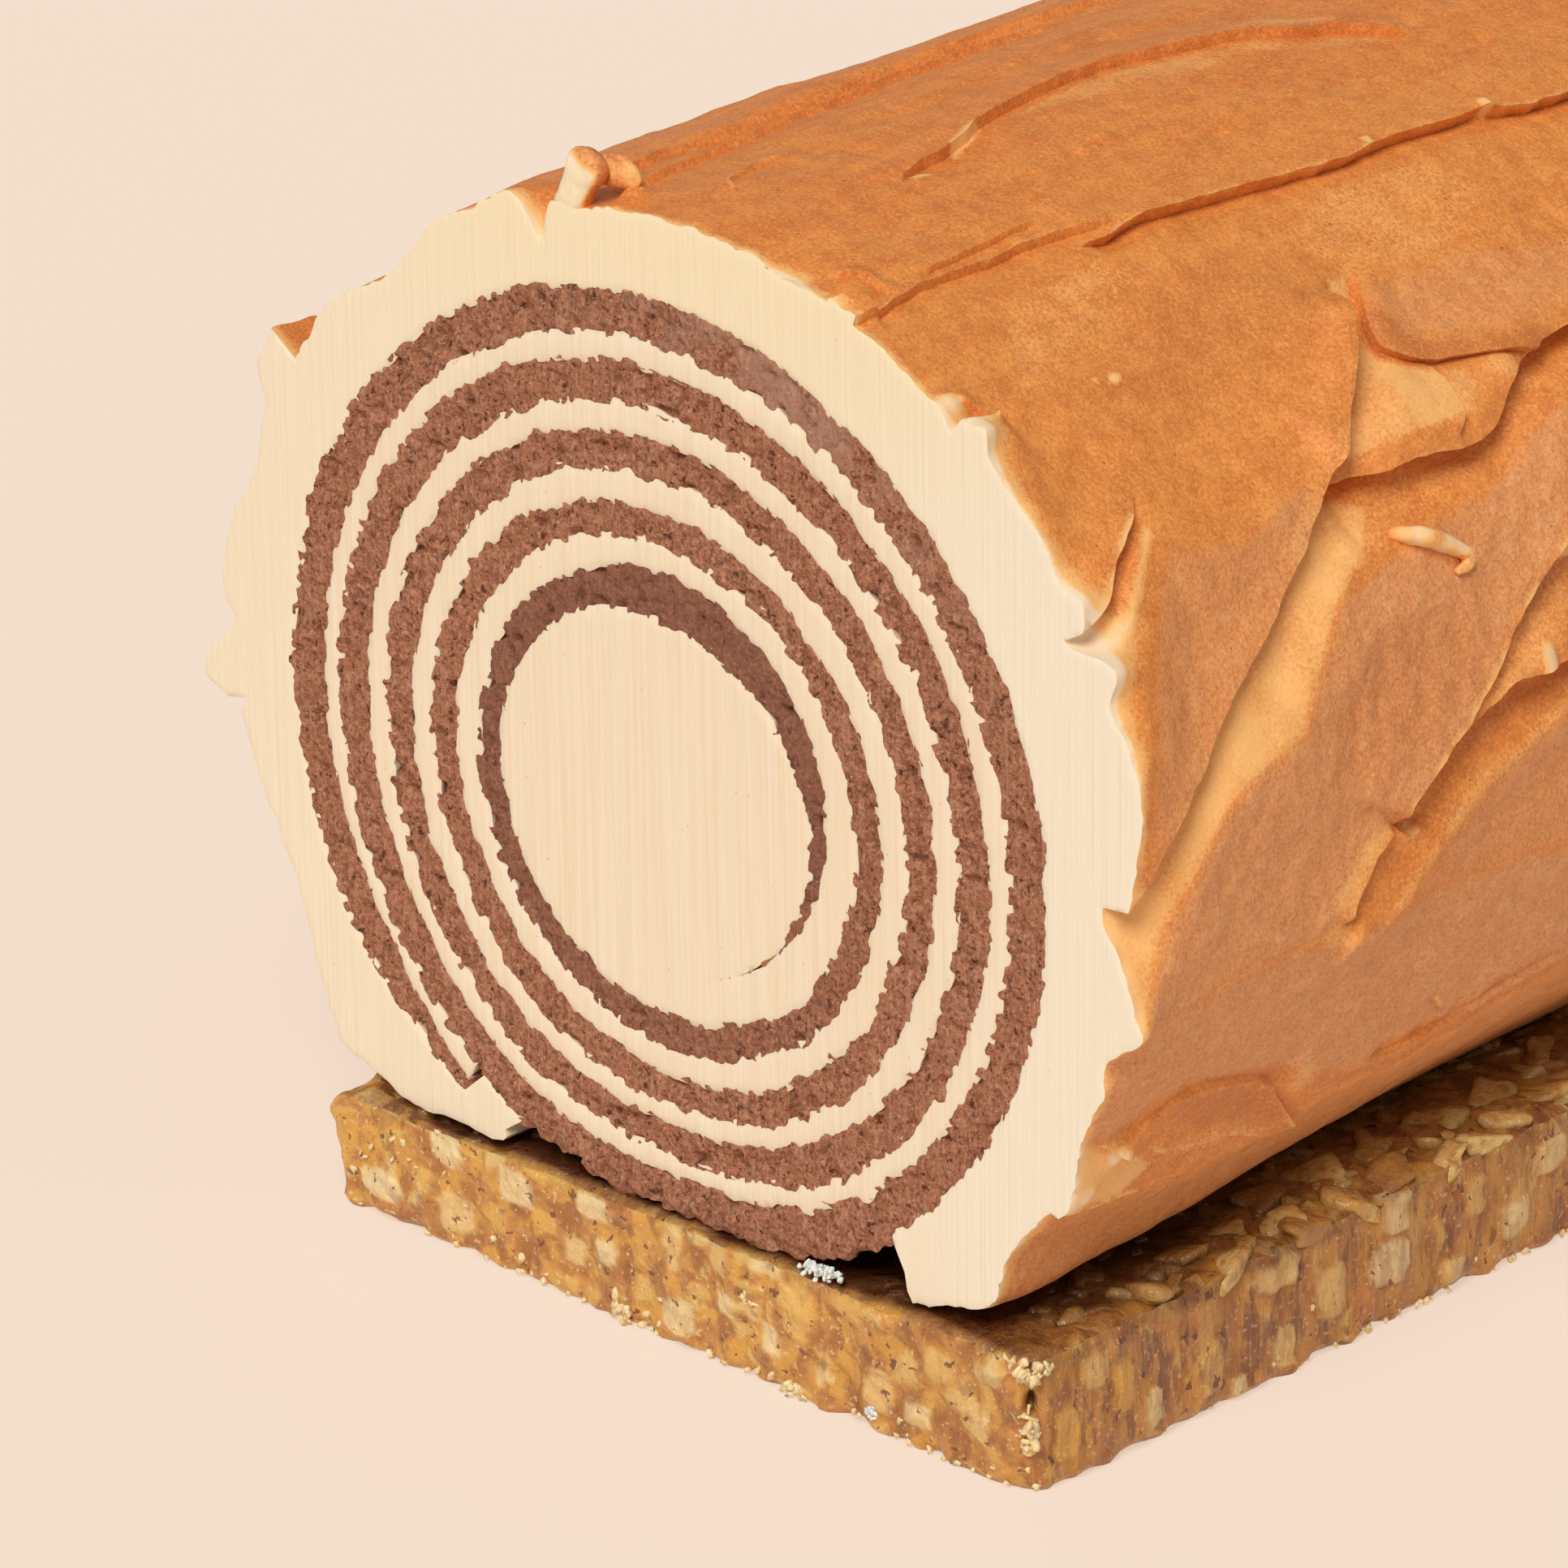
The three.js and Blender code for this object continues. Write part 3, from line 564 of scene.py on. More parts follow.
SHOWN_CREASES = [
    # The long shelf on the upper right
    crease([[0, 62.9], [5, 63.4], [10, 64.3], [18, 64.5], [25, 64.8], [33, 63.6]],
           0.45, 8, -0.5, 3, [0, 6], pale=0.35),
    crease([[25, 63], [33, 62.8], [42, 62.2], [52, 61.5], [62, 61.1], [73.5, 60.5], [84, 59.6], [118, 62]],
           0.8, 9, -0.75, 3, [5, 25], 0.5, 0.45),
    crease([[9, 65.2], [15, 65.9], [21, 66.6], [25, 66.5]], 0.3, 2.5, -0.35, 1.5, [2, 2], pale=0.2),
    # The shallow arch above it, and the scoop under the arch
    crease([[17, 77.2], [23.4, 80.2], [34, 83.4], [44.5, 85.4], [54.7, 85.8], [64.2, 83.4], [69.8, 80.8],
            [73.6, 79.6], [78.7, 74.6]], 0.45, 5, -0.6, 4.5, [7, 2]),
    crease([[66, 71], [76.8, 68.8], [84.9, 69.1]], -0.45, 3, 0.35, 5, [8, 1]),
    crease([[8.6, 87.6], [10.4, 90.6], [14, 91.8], [20, 92.2]], 0.25, 1.5, -0.3, 2, [1, 5], pale=0.5),
    crease([[4, 99.5], [14, 100.5], [34, 102.5], [66, 103.5]], 0.35, 3, -0.35, 3.5, [2, 14]),
    crease([[8, 105], [22, 106.5], [50, 107.5], [90, 107]], 0.4, 4, -0.4, 4, [4, 20]),
    crease([[0, 97], [6, 95.5], [20, 96], [44, 98], [70, 96]], -0.1, 6, 0.2, 5, [0, 12]),
    ridge([[0, 113], [25, 117], [60, 115], [90, 120]], [1.4, 2.1], 12, 14, [0, 20]),
    # The large fin that rises from the cut end; its face runs up to a bend
    crease([[0, 3.8], [3, 9.4], [8.2, 14.3], [14.2, 19.3], [20.4, 23.9], [27.9, 30.4], [32.8, 35.1],
            [37.6, 39.8], [41.2, 44.2], [44.5, 49.5]],
           [0.1, 1.1], [3, 2.5], [-2.5, -1.1], [8, 5], [0, 3], 0.75, 0.3),
    ridge([[0, 12.8], [2.6, 19.5], [5, 24.5], [8.6, 29], [12, 31.7], [16, 30.8], [20, 30.5], [24, 31.4],
           [28, 33.6], [33, 37.3], [39, 42.5], [44, 49]], 1.7, 9, [7, 2.5], [0, 4]),
    ridge([[0, -8.5], [4.3, 0.5], [8, 7], [12.3, 10.5], [17, 12.4], [21.5, 14], [24, 18], [28, 22.8],
           [34, 25], [45, 27], [60, 32.5], [75, 38]], 0.65, 3, 8, [0, 12]),
    ridge([[3, 3], [12, 9.7], [17, 8], [23, 6.7], [29, 6.6], [34, 9.2], [40, 10.8]], 0.3, 4, 4, [2, 2]),
    ridge([[25, 17.2], [29.3, 18.9], [32.6, 19.6], [36.5, 19.8], [40.2, 19.5], [45.3, 18.5]],
          0.5, 3.2, 3.8, [3, 3]),
    ridge([[38.5, 8.2], [43.2, 9.8], [47.2, 10.9], [50.4, 11.4]], 0.5, 1.6, 2.4, [1.5, 0.6]),
    ridge([[2.2, 26.4], [4.6, 27.8], [7.6, 30.6], [11.4, 34.2]], 0.5, 0.9, 1.3, [1.2, 2.5]),
    # The shell of cream beside its top, and the shelf that runs on from it
    crease([[31, 33], [34.5, 33.3], [38.3, 32.3], [43.1, 32], [48.1, 32], [51.8, 33.2], [55.3, 36.2],
            [59.8, 38.1], [66.6, 38.9], [80, 41], [102, 45]], 1.9, 7, -1.6, 8, [2, 18], 0.9, 0.1, 0.0, 0.8),
    crease([[47.5, 50], [46.1, 45.7], [45.1, 43.3], [45, 41.7], [47.6, 39.5], [51.5, 38.5], [55.7, 37.9],
            [61, 37.6]], 0.75, 4, -0.6, 3, [3, 4], 0.35, 0, 0, 0.6),
    crease([[48.2, 39.4], [47.9, 36.7], [47.4, 34.3], [45.8, 32.6]], -0.45, 1.8, 0.5, 2.2, [1, 1]),
    # The second fin, with the lip under it and the V of folded cream at its foot
    crease([[31.7, 1.6], [33.6, 4.6], [40.1, 9.6], [44, 12.6], [48, 15.6], [54.2, 20.8], [62, 27.5],
            [73, 36]], [0.9, 1.7], 8, [-0.4, -2.0], [2, 5], [1, 8], 0.45, 0.75),
    crease([[31.9, 1.2], [34, 3.8], [36, 5.8], [40.8, 8.3], [46.1, 10.5], [51, 10.2], [62, 14], [76, 21]],
           [0.5, 0.9], 4, [-2.2, -2.0], [5, 7], [0.6, 8], 0.7, 0.3),
    ridge([[26.6, -7.4], [30.2, -8], [32.9, -6.3], [35.6, -3.6], [39.5, -1], [43.5, 1.6], [54, 5.8],
           [70, 12]], 1.0, 3, 5, [1, 10]),
    crease([[26.2, -6.4], [26.7, -4.4], [28.5, -1.9], [30.4, -0.2], [32, 1.2]],
           0.75, 3.5, -1.2, 3, [0.6, 1], 0.3, 0.5),
    crease([[32.6, 0.6], [34.4, -0.6], [36, 0.4]], -0.5, 1.5, 0.35, 1.5, [1, 1]),
    # The bends on the lower right side
    ridge([[0, -8.7], [6.7, -7.9], [11.4, -7.1], [21.6, -7], [27, -7.9], [37, -7], [46, -8.3], [80, -11],
           [120, -8]], 0.6, 9, 9, [0, 20]),
    ridge([[0, -28], [8, -31.5], [16, -33.8], [26, -32.5], [33.6, -29.6], [41.3, -30.6], [49, -29.4],
           [53, -27.8], [61, -26.7], [95, -28], [130, -28]], 0.85, 7, 6, [0, 20]),
    crease([[35, -27], [42, -27.8], [49, -26.6], [55, -25], [64, -24]], -0.25, 3, 0.35, 2.5, [4, 6]),
    crease([[4, -24], [8.9, -20.9], [12.4, -19.4], [17.8, -20.7], [22.6, -23]], -0.15, 4, 0.45, 4, [2, 1]),
    crease([[21.4, -22.4], [23.4, -23.8], [24.9, -26.2], [28, -30.4], [31.6, -34.4]],
           -0.3, 3, 0.7, 3, [1, 0.6], pale=0.6),
    crease([[2, -21.5], [6, -24.5], [9, -27.5]], 0.45, 2, -0.4, 1.6, [1, 2], pale=0.9),
    crease([[0, -29.5], [5, -31], [12, -31.8], [19.4, -32.6]], 0.45, 3, -0.5, 2, [0, 3], pale=0.8),
    crease([[9, -25.5], [13, -27.4], [20, -29.6], [27, -33]], 0.4, 2.5, -0.3, 1.8, [2, 1], pale=0.6),
    crease([[43, -22.4], [44.6, -24.3], [46, -25.6]], 0.3, 1.6, -0.35, 1.2, [1, 1], pale=0.5),
    crease([[5, 47.6], [20, 47.4], [30, 47.6], [39, 48.4], [44.7, 49.6]], 0.25, 6, 0.0, 6, [3, 1]),
    # The lips at the rim of the cut end
    crease([[0, 28.5], [2.5, 30], [6, 32.8], [9.6, 35.4], [12.4, 37.6]], 0.9, 4, -0.8, 2.5, [0, 4], 0.3, 0.7),
    crease([[0, 49], [3, 48.2], [6, 48.6]], -0.4, 3, 1.3, 6, [0, 2], 0.3, 0.8),
    crease([[2.4, 52], [4.2, 49.4], [4.4, 47]], 0.3, 1.5, -0.3, 1.8, [1, 1.5], pale=0.3),
    crease([[3, 69.4], [4.8, 67.6], [5.4, 64]], 0.4, 1.8, -0.4, 1.6, [1, 1], pale=0.25),
    crease([[0, 66.5], [2.6, 65.4], [3, 61.5]], -0.3, 1.6, 0.3, 1.6, [0, 1], pale=0.2),
    # The left side, beside the cut end
    crease([[0, 149], [20, 153], [45, 149], [80, 155]], 2.4, 6, -1.2, 9, [0, 12]),
    crease([[0, 188], [15, 190], [40, 184], [70, 188]], -1.6, 6, 0.7, 6, [0, 12]),
    crease([[0, 222], [30, 220], [80, 223]], 1.6, 6, 1.6, 7, [0, 12]),
]

# Soft lumps: y, angle, half length, half width, height, and how thin the spray is on them
DABS = [
    (44, 36.5, 5, 3.0, 1.2, 0.0), (54.2, 36.6, 1.8, 1.8, 0.9, 0.45), (53, 13, 3.5, 2.5, 0.8, 0.2),
    (1, 185, 2.6, 2.6, 1.8, 0.5), (14, -24, 6, 3.5, 0.6, 0.0), (73.3, 61, 1.1, 0.9, 0.8, 0.9),
    (59.2, 61.8, 0.7, 0.6, 0.4, 0.7), (2, 65, 1.6, 1.5, 0.6, 0.15), (4.5, 67.5, 1.3, 1.2, 0.45, 0.2),
    (7, 70.5, 3, 2, 0.35, 0.0), (9, 88, 4, 3, 0.3, 0.0), (3.4, 95.5, 1.6, 1.3, 1.3, 0.0),
    (48.9, 69.9, 1.8, 0.7, -0.45, 0.0), (52.2, 71.9, 1.0, 0.6, 0.35, 0.0), (66, 83.5, 5, 2.5, 0.45, 0.25),
    (50.4, 10.8, 1.1, 2.0, 1.0, 0.95), (55, 20, 2.4, 1.2, 0.9, 0.8), (57.5, 21.5, 1.6, 1.4, 0.7, 0.8),
    (60, 70, 4, 2.5, 0.3, 0.0), (27.6, -25.4, 2.2, 2.6, 0.55, 0.35), (31.5, -20.5, 2.2, 1.3, 0.45, 0.25),
    (1.6, 51.5, 1.6, 1.2, 0.7, 0.8), (18.4, 48.6, 0.8, 0.6, 0.4, 0.8), (16.6, 49, 0.6, 0.4, 0.3, 0.6),
    (34.8, -0.6, 0.9, 0.7, 0.4, 0.6), (21.4, 78.2, 1.6, 0.5, 0.2, 0.8), (35.5, 73.4, 1.2, 0.5, -0.5, 0.0),
    (39.5, 74.4, 1.0, 0.7, 0.4, 0.0), (6, 13, 4, 4, 0.35, 0.0), (30, 56, 9, 6, 0.35, 0.0),
    (62, 54, 9, 5, 0.4, 0.0), (16, 40, 6, 4, 0.4, 0.0), (5, -24, 1.5, 1.2, 0.6, 0.9),
    (2.2, -27, 1.5, 1.2, 0.5, 0.9),
]

# What stands out of the rim of the cut end, or is missing from it: angle, half width in degrees,
# height and depth along the log
RIM_LIPS = [
    (-44, 4, 2.6, 30), (-27, 3, 1.0, 5), (-11.5, 2, -1.2, 3), (-7, 1.6, 1.3, 3), (2.5, 3, -0.9, 4),
    (17, 3, 0.6, 4), (24.5, 1.7, 2.0, 3), (27.8, 1.2, -1.6, 3), (31, 1.2, 1.0, 2.5), (38, 8, 1.6, 6),
    (46.9, 1.1, 1.7, 2.5), (71, 5, -0.7, 6), (105.6, 1.4, -3.4, 3.2), (109, 1.6, 0.7, 5), (131, 6, -1.8, 8),
    (152, 4, 0.9, 14), (153, 1.5, 1.0, 4), (163, 5, -0.8, 6), (174, 7, 0.9, 16), (180.4, 1.3, -1.6, 4),
    (186.4, 2.4, 1.5, 6), (188, 1.0, -2.0, 2.2), (194, 3, -0.9, 8), (202, 8, -2.8, 12), (208, 4, -1.0, 10),
    (212, 3, -0.9, 4), (223, 1.5, 0.6, 4), (234, 3, -2.0, 6),
]


def make_draw(seed):
    """The repeatable random draw of the solids (Park-Miller generator)."""
    state = [seed]

    def draw(low, high):
        state[0] = (state[0] * 16807) % 2147483647
        return low + (high - low) * (state[0] / 2147483647)

    return draw


def farther_creases():
    """The rest of the bark, as in the solids: fins that slant up both sides, shelves over the top."""
    draw = make_draw(2412)
    creases = []
    y = SHOWN_LENGTH
    while y < LOG_LENGTH - 20:
        foot, rise, run = draw(-6, 8), draw(36, 48), draw(34, 46)
        line = [[y, foot], [y + 0.35 * run, foot + 0.32 * rise], [y + run, foot + rise]]
        creases.append(crease(line, draw(1.2, 1.8), 9, draw(-2.6, -1.8), [4, 8], [5, 6], 0.6, 0.5, 0.5))
        line = [[y + 8, foot - 14], [y + 24, foot - draw(2, 8)], [y + 38, foot + draw(0, 8)]]
        creases.append(crease(line, draw(0.5, 1), 4, draw(-1.3, -0.6), 5, [4, 6], 0.4, 0.4, 0.4))
        y += draw(27, 35)
    y = 12
    while y < LOG_LENGTH - 20:
        foot, rise, run = draw(196, 208), draw(38, 52), draw(34, 46)
        line = [[y, foot], [y + 0.4 * run, foot - 0.35 * rise], [y + run, foot - rise]]
        creases.append(crease(line, draw(-2.2, -1.5), [4, 7], draw(1, 1.6), 9, [5, 6], 0.6, 0.5, 0.5))
        line = [[y + 14, foot + 5], [y + 30, foot - draw(4, 10)], [y + 44, foot - draw(12, 18)]]
        creases.append(crease(line, draw(-1.2, -0.6), 5, draw(0.5, 1), 4, [4, 6], 0.4, 0.4, 0.4))
        y += draw(28, 36)
    for angle in (74, 92, 106, 121, 135):
        y = draw(4, 60) + (SHOWN_LENGTH if angle == 74 else 0)
        while y < LOG_LENGTH - 30:
            sag = draw(-3, 3)
            end = min(y + draw(50, 75), LOG_LENGTH)
            line = [[y, angle], [(y + end) / 2, angle + sag], [end, angle - sag]]
            creases.append(crease(line, draw(-0.7, 0.9), 7, draw(-0.9, 0.5), 5, [10, 12]))
            y += draw(70, 95)
    for angle in (-30, 62, 212):
        line = [[118, angle], [170, angle + 3], [LOG_LENGTH, angle]]
        creases.append(crease(line, 0.7, 8, 0.4, 7, [20, 0]))
    return creases


def small_creases(count=110):
    """Short, low knife marks over the part of the bark that has no drawn ones."""
    draw = np.random.default_rng(612)
    creases = []
    for _ in range(count):
        y, angle = draw.uniform(4, LOG_LENGTH - 6), draw.uniform(-30, 232)
        if y < SHOWN_LENGTH and angle < SHOWN_TOP:
            continue
        length = draw.uniform(6, 20)
        lean = draw.uniform(-0.15, 0.15) if 60 < angle < 140 else draw.uniform(0.5, 1.1)
        lean *= -1 if angle >= 140 else 1
        bend = draw.uniform(-1.5, 1.5)
        rise = math.degrees(lean * length / COAT_RADIUS)
        line = [[y, angle], [y + length / 2, angle + rise / 2 + bend], [y + length, angle + rise]]
        creases.append(crease(line, draw.uniform(-0.4, 0.5), 3.5, draw.uniform(-0.4, 0.4), 3, [2, 3]))
    return creases


CREASES = SHOWN_CREASES + farther_creases() + small_creases()


def near_box(y, s, points, reach):
    """Which of the places on the bark lie within reach of the box around the points."""
    low, high = points.min(0) - reach, points.max(0) + reach
    return np.nonzero((y > low[0]) & (y < high[0]) & (s > low[1]) & (s < high[1]))[0]


def to_segment(y, s, a, b):
    """The share of the way from a to b where each place comes nearest, and its offset from there."""
    run, rise = b - a
    share = np.clip(((y - a[0]) * run + (s - a[1]) * rise) / (run * run + rise * rise), 0, 1)
    return share, y - a[0] - share * run, s - a[1] - share * rise


def near_crease(item, y, s, reach):
    """Which points lie near a crease, and for those: signed distance, share along it, fade, and the
    direction away from it."""
    near = near_box(y, s, item["line"], reach)
    py, ps = y[near], s[near]
    distance = np.full(len(near), np.inf)
    side, along = np.ones(len(near)), np.zeros(len(near))
    away = np.zeros((len(near), 2))
    for a, b, start in zip(item["line"], item["line"][1:], item["starts"]):
        run, rise = b - a
        t, dy, ds = to_segment(py, ps, a, b)
        d = np.hypot(dy, ds)
        closer = d < distance
        distance = np.where(closer, d, distance)
        side = np.where(closer, np.where(run * (ps - a[1]) < rise * (py - a[0]), -1, 1), side)
        along = np.where(closer, start + t * math.sqrt(run * run + rise * rise), along)
        away[closer] = np.stack([dy, ds], axis=-1)[closer]
    away /= np.maximum(distance, 1e-6)[:, None]
    return near, side * distance, along / item["total"], crease_fade(item, along), away


def crease_fade(item, along):
    fade_in, fade_out = item["fade"]
    fade = smooth(along, 0, fade_in) if fade_in else np.ones(len(along))
    return fade * (smooth(item["total"] - along, 0, fade_out) if fade_out else 1)


def slope(distance, width):
    """1 at a crease's line, running out to 0 over the width."""
    share = np.maximum(0, 1 - distance / width)
    return share * share * (1 + SLOPE_SOFTNESS) / (share + SLOPE_SOFTNESS)


def uneven(y, s):
    """Places on the bark pushed about a little, so that its lines aren't drawn with a ruler."""
    where = flat3(y, s)
    shift_y = layered_noise(where, (0.4, 7, 201), (0.12, 1.7, 202), (0.04, 0.6, 205))
    shift_s = layered_noise(where, (0.4, 7, 203), (0.12, 1.7, 204), (0.04, 0.6, 206))
    rim = smooth(y, 0, 6)
    return y + shift_y * rim, s + shift_s * rim


def add_creases(height, uy, us):
    """Adds the creases to the height. How far their edges hang over, and how thin the spray is there."""
    over, thin = np.zeros((len(uy), 2)), np.zeros(len(uy))
    patchy = smooth(noise(flat3(uy, us), 1.9, 244), -0.6, 0.4)
    for item in CREASES:
        reach = max(*item["above_width"], *item["below_width"])
        near, distance, share, fade, away = near_crease(item, uy, us, reach)
        far = np.abs(distance)
        above, below, above_width, below_width = (
            item[key][0] + share * (item[key][1] - item[key][0])
            for key in ("above", "below", "above_width", "below_width"))
        high_slope, low_slope = above * slope(far, above_width), below * slope(far, below_width)
        soft = STEP_SOFTNESS if item["step"] >= CRISP_STEP else SOFT_STEP
        step = smooth(distance, -soft, soft)
        height[near] += (low_slope + (high_slope - low_slope) * step) * fade
        if item["step"] < CRISP_STEP and not item["pale"]:
            continue
        rising = 1 if sum(item["above"]) > sum(item["below"]) else -1
        high = step if rising > 0 else 1 - step
        inland = np.maximum(rising * distance, 0)
        if item["overhang"]:
            # The whole edge of the higher side moves over the lower side
            lip = high * np.exp(-inland / OVERHANG_REACH) * fade
            outward = np.where(rising * distance >= 0, 1, -1)[:, None] * away
            over[near] -= outward * (item["overhang"] * lip)[:, None]
            height[near] += LIP_RISE * high * np.exp(-((inland / LIP_WIDTH) ** 2)) * fade
        if item["rounding"]:
            lowered = np.maximum(1 - inland / ROUNDING_REACH, 0) ** 2
            height[near] -= item["rounding"] * high * lowered * fade
        edge = high * np.exp(-((inland / PALE_WIDTH) ** 2)) * item["pale"] * patchy[near]
        width = below_width if rising > 0 else above_width
        bare = (1 - high) * item["bare"] * smooth(slope(far, width), 0, 0.4)
        thin[near] = np.maximum(thin[near], np.maximum(edge, bare) * fade)
    return over, thin


def add_strokes(height, y, angle, uy, us):
    """Adds the knife's strokes and the cream's own lumps to the height."""
    where = flat3(uy, us)
    strokes = noise(flat3(uy / 9, us / 1.5), 1, 221)
    slanted = noise(flat3((uy + 1.1 * us) / 9, (us - 0.9 * uy) / 1.8), 1, 222)
    up_top = between(angle, (55, 66), (132, 146))
    height += 0.09 * strokes * up_top + 0.05 * slanted * (1 - up_top)
    height += layered_noise(where, (0.12, 6.5, 223), (0.05, 2.4, 224), (0.02, 1, 225))
    # Where the knife shivered
    bumpy = between(angle, (46, 52), (60, 64)) + smooth(angle, 32, 38) * smooth(-y, -30, -22)
    shivers = np.maximum(smooth(noise(where, 14, 226), 0.0, 0.6), np.clip(bumpy, 0, 1) * (y < 90))
    height += 0.09 * shivers * noise(flat3(uy * 0.9, us * 0.6), 1.6, 227)
    # Small bubbles on the flat strokes of the lower side
    bubbly = between(angle, (-31, -26), (-10, -7)) * smooth(y, 20, 32)
    bubbly = np.maximum(bubbly, between(angle, (4, 8), (16, 18.5)) * smooth(y, 21, 26))
    bubbles = 0.16 * noise(flat3(uy, us * 0.8), 2.3, 230) + 0.11 * noise(flat3(uy, us * 0.85), 1.2, 232)
    height += bubbly * np.maximum(bubbles, -0.05)
    rim = np.exp(-y / RIM_REACH) + np.exp(-(LOG_LENGTH - y) / RIM_REACH)
    height += rim * layered_noise(where, (0.2, 1.7, 228), (0.14, 0.7, 229))


def bark(y, s):
    """Height of the bark above the smooth coat, how far its edges hang over, and how thin the spray
    is along them."""
    uy, us = uneven(y, s)
    angle = np.degrees(s / COAT_RADIUS)
    height = 0.35 * np.sin(0.071 * y + 0.045 * s + 1.3) + 0.3 * np.sin(0.113 * s - 0.039 * y + 0.4)
    over, thin = add_creases(height, uy, us)
    for dab_y, dab_angle, half_length, half_width, dab_height, dab_thin in DABS:
        along = (uy - dab_y) / half_length
        across = (us - math.radians(dab_angle) * COAT_RADIUS) / half_width
        dab = np.exp(-(along**2) - across**2)
        height += dab_height * dab
        thin = np.maximum(thin, dab_thin * smooth(dab, 0.25, 0.8))
    for lip_angle, half_width, lip_height, depth in RIM_LIPS:
        height += lip_height * np.exp(-(((angle - lip_angle) / half_width) ** 2) - (y / depth) ** 2)
    add_strokes(height, y, angle, uy, us)
    right = smooth(angle, COAT_RIGHT_FOOT, COAT_RIGHT_FOOT + FOOT_FADE_SPAN)
    left = smooth(-angle, -COAT_LEFT_FOOT, -COAT_LEFT_FOOT + FOOT_FADE_SPAN)
    return height * right * left, over * (right * left)[:, None], thin


def coat_radius(angle):
    return COAT_RADIUS + COAT_OVAL * np.cos(2 * np.radians(angle - COAT_OVAL_ANGLE))


def coat_point(y, s, height):
    """The place of a point of the bark. The feet's undersides lie just over the slab."""
    angle = np.degrees(s / COAT_RADIUS)
    radius = coat_radius(angle) + height
    x = radius * np.cos(np.radians(angle))
    z = COAT_CENTRE_Z + radius * np.sin(np.radians(angle))
    from_end = np.minimum(angle - COAT_RIGHT_FOOT, COAT_LEFT_FOOT - angle) / FOOT_FADE_SPAN
    arch = FOOT_ARCH * np.sin(np.pi * np.clip(from_end, 0, 1))
    rough = 0.12 * noise(flat3(x, y, z), 1.3, 231)
    return np.stack([x, y - LOG_LENGTH / 2, np.maximum(z, slab_top(x) + GAP + arch + rough)], axis=-1)


# ---- The spray on the bark ----

# Where the spray starts behind the rim of the front cut end: angle, mm
SPRAY_START = [
    (-54, 0.2), (-44, 0.3), (-33, 1.0), (-26, 0.5), (-20, 0.2), (-9, 0.0), (8, 0.0), (14, 0.2), (20, 0.7),
    (24, 1.5), (28, 3.0), (30.5, 1.4), (34, 0.6), (38, 0.4), (43, 0.7), (47, 1.6), (50, 0.8), (52.5, 0.1),
    (64, 0.0), (69, 0.5), (71.5, 1.6), (74, 0.3), (80, 0.0), (96, 0.0), (104, 0.0), (106, 0.9), (110, 0.0),
    (150, 0.4), (180, 0.3), (190, 1.0), (215, 0.4), (244, 0.3),
]
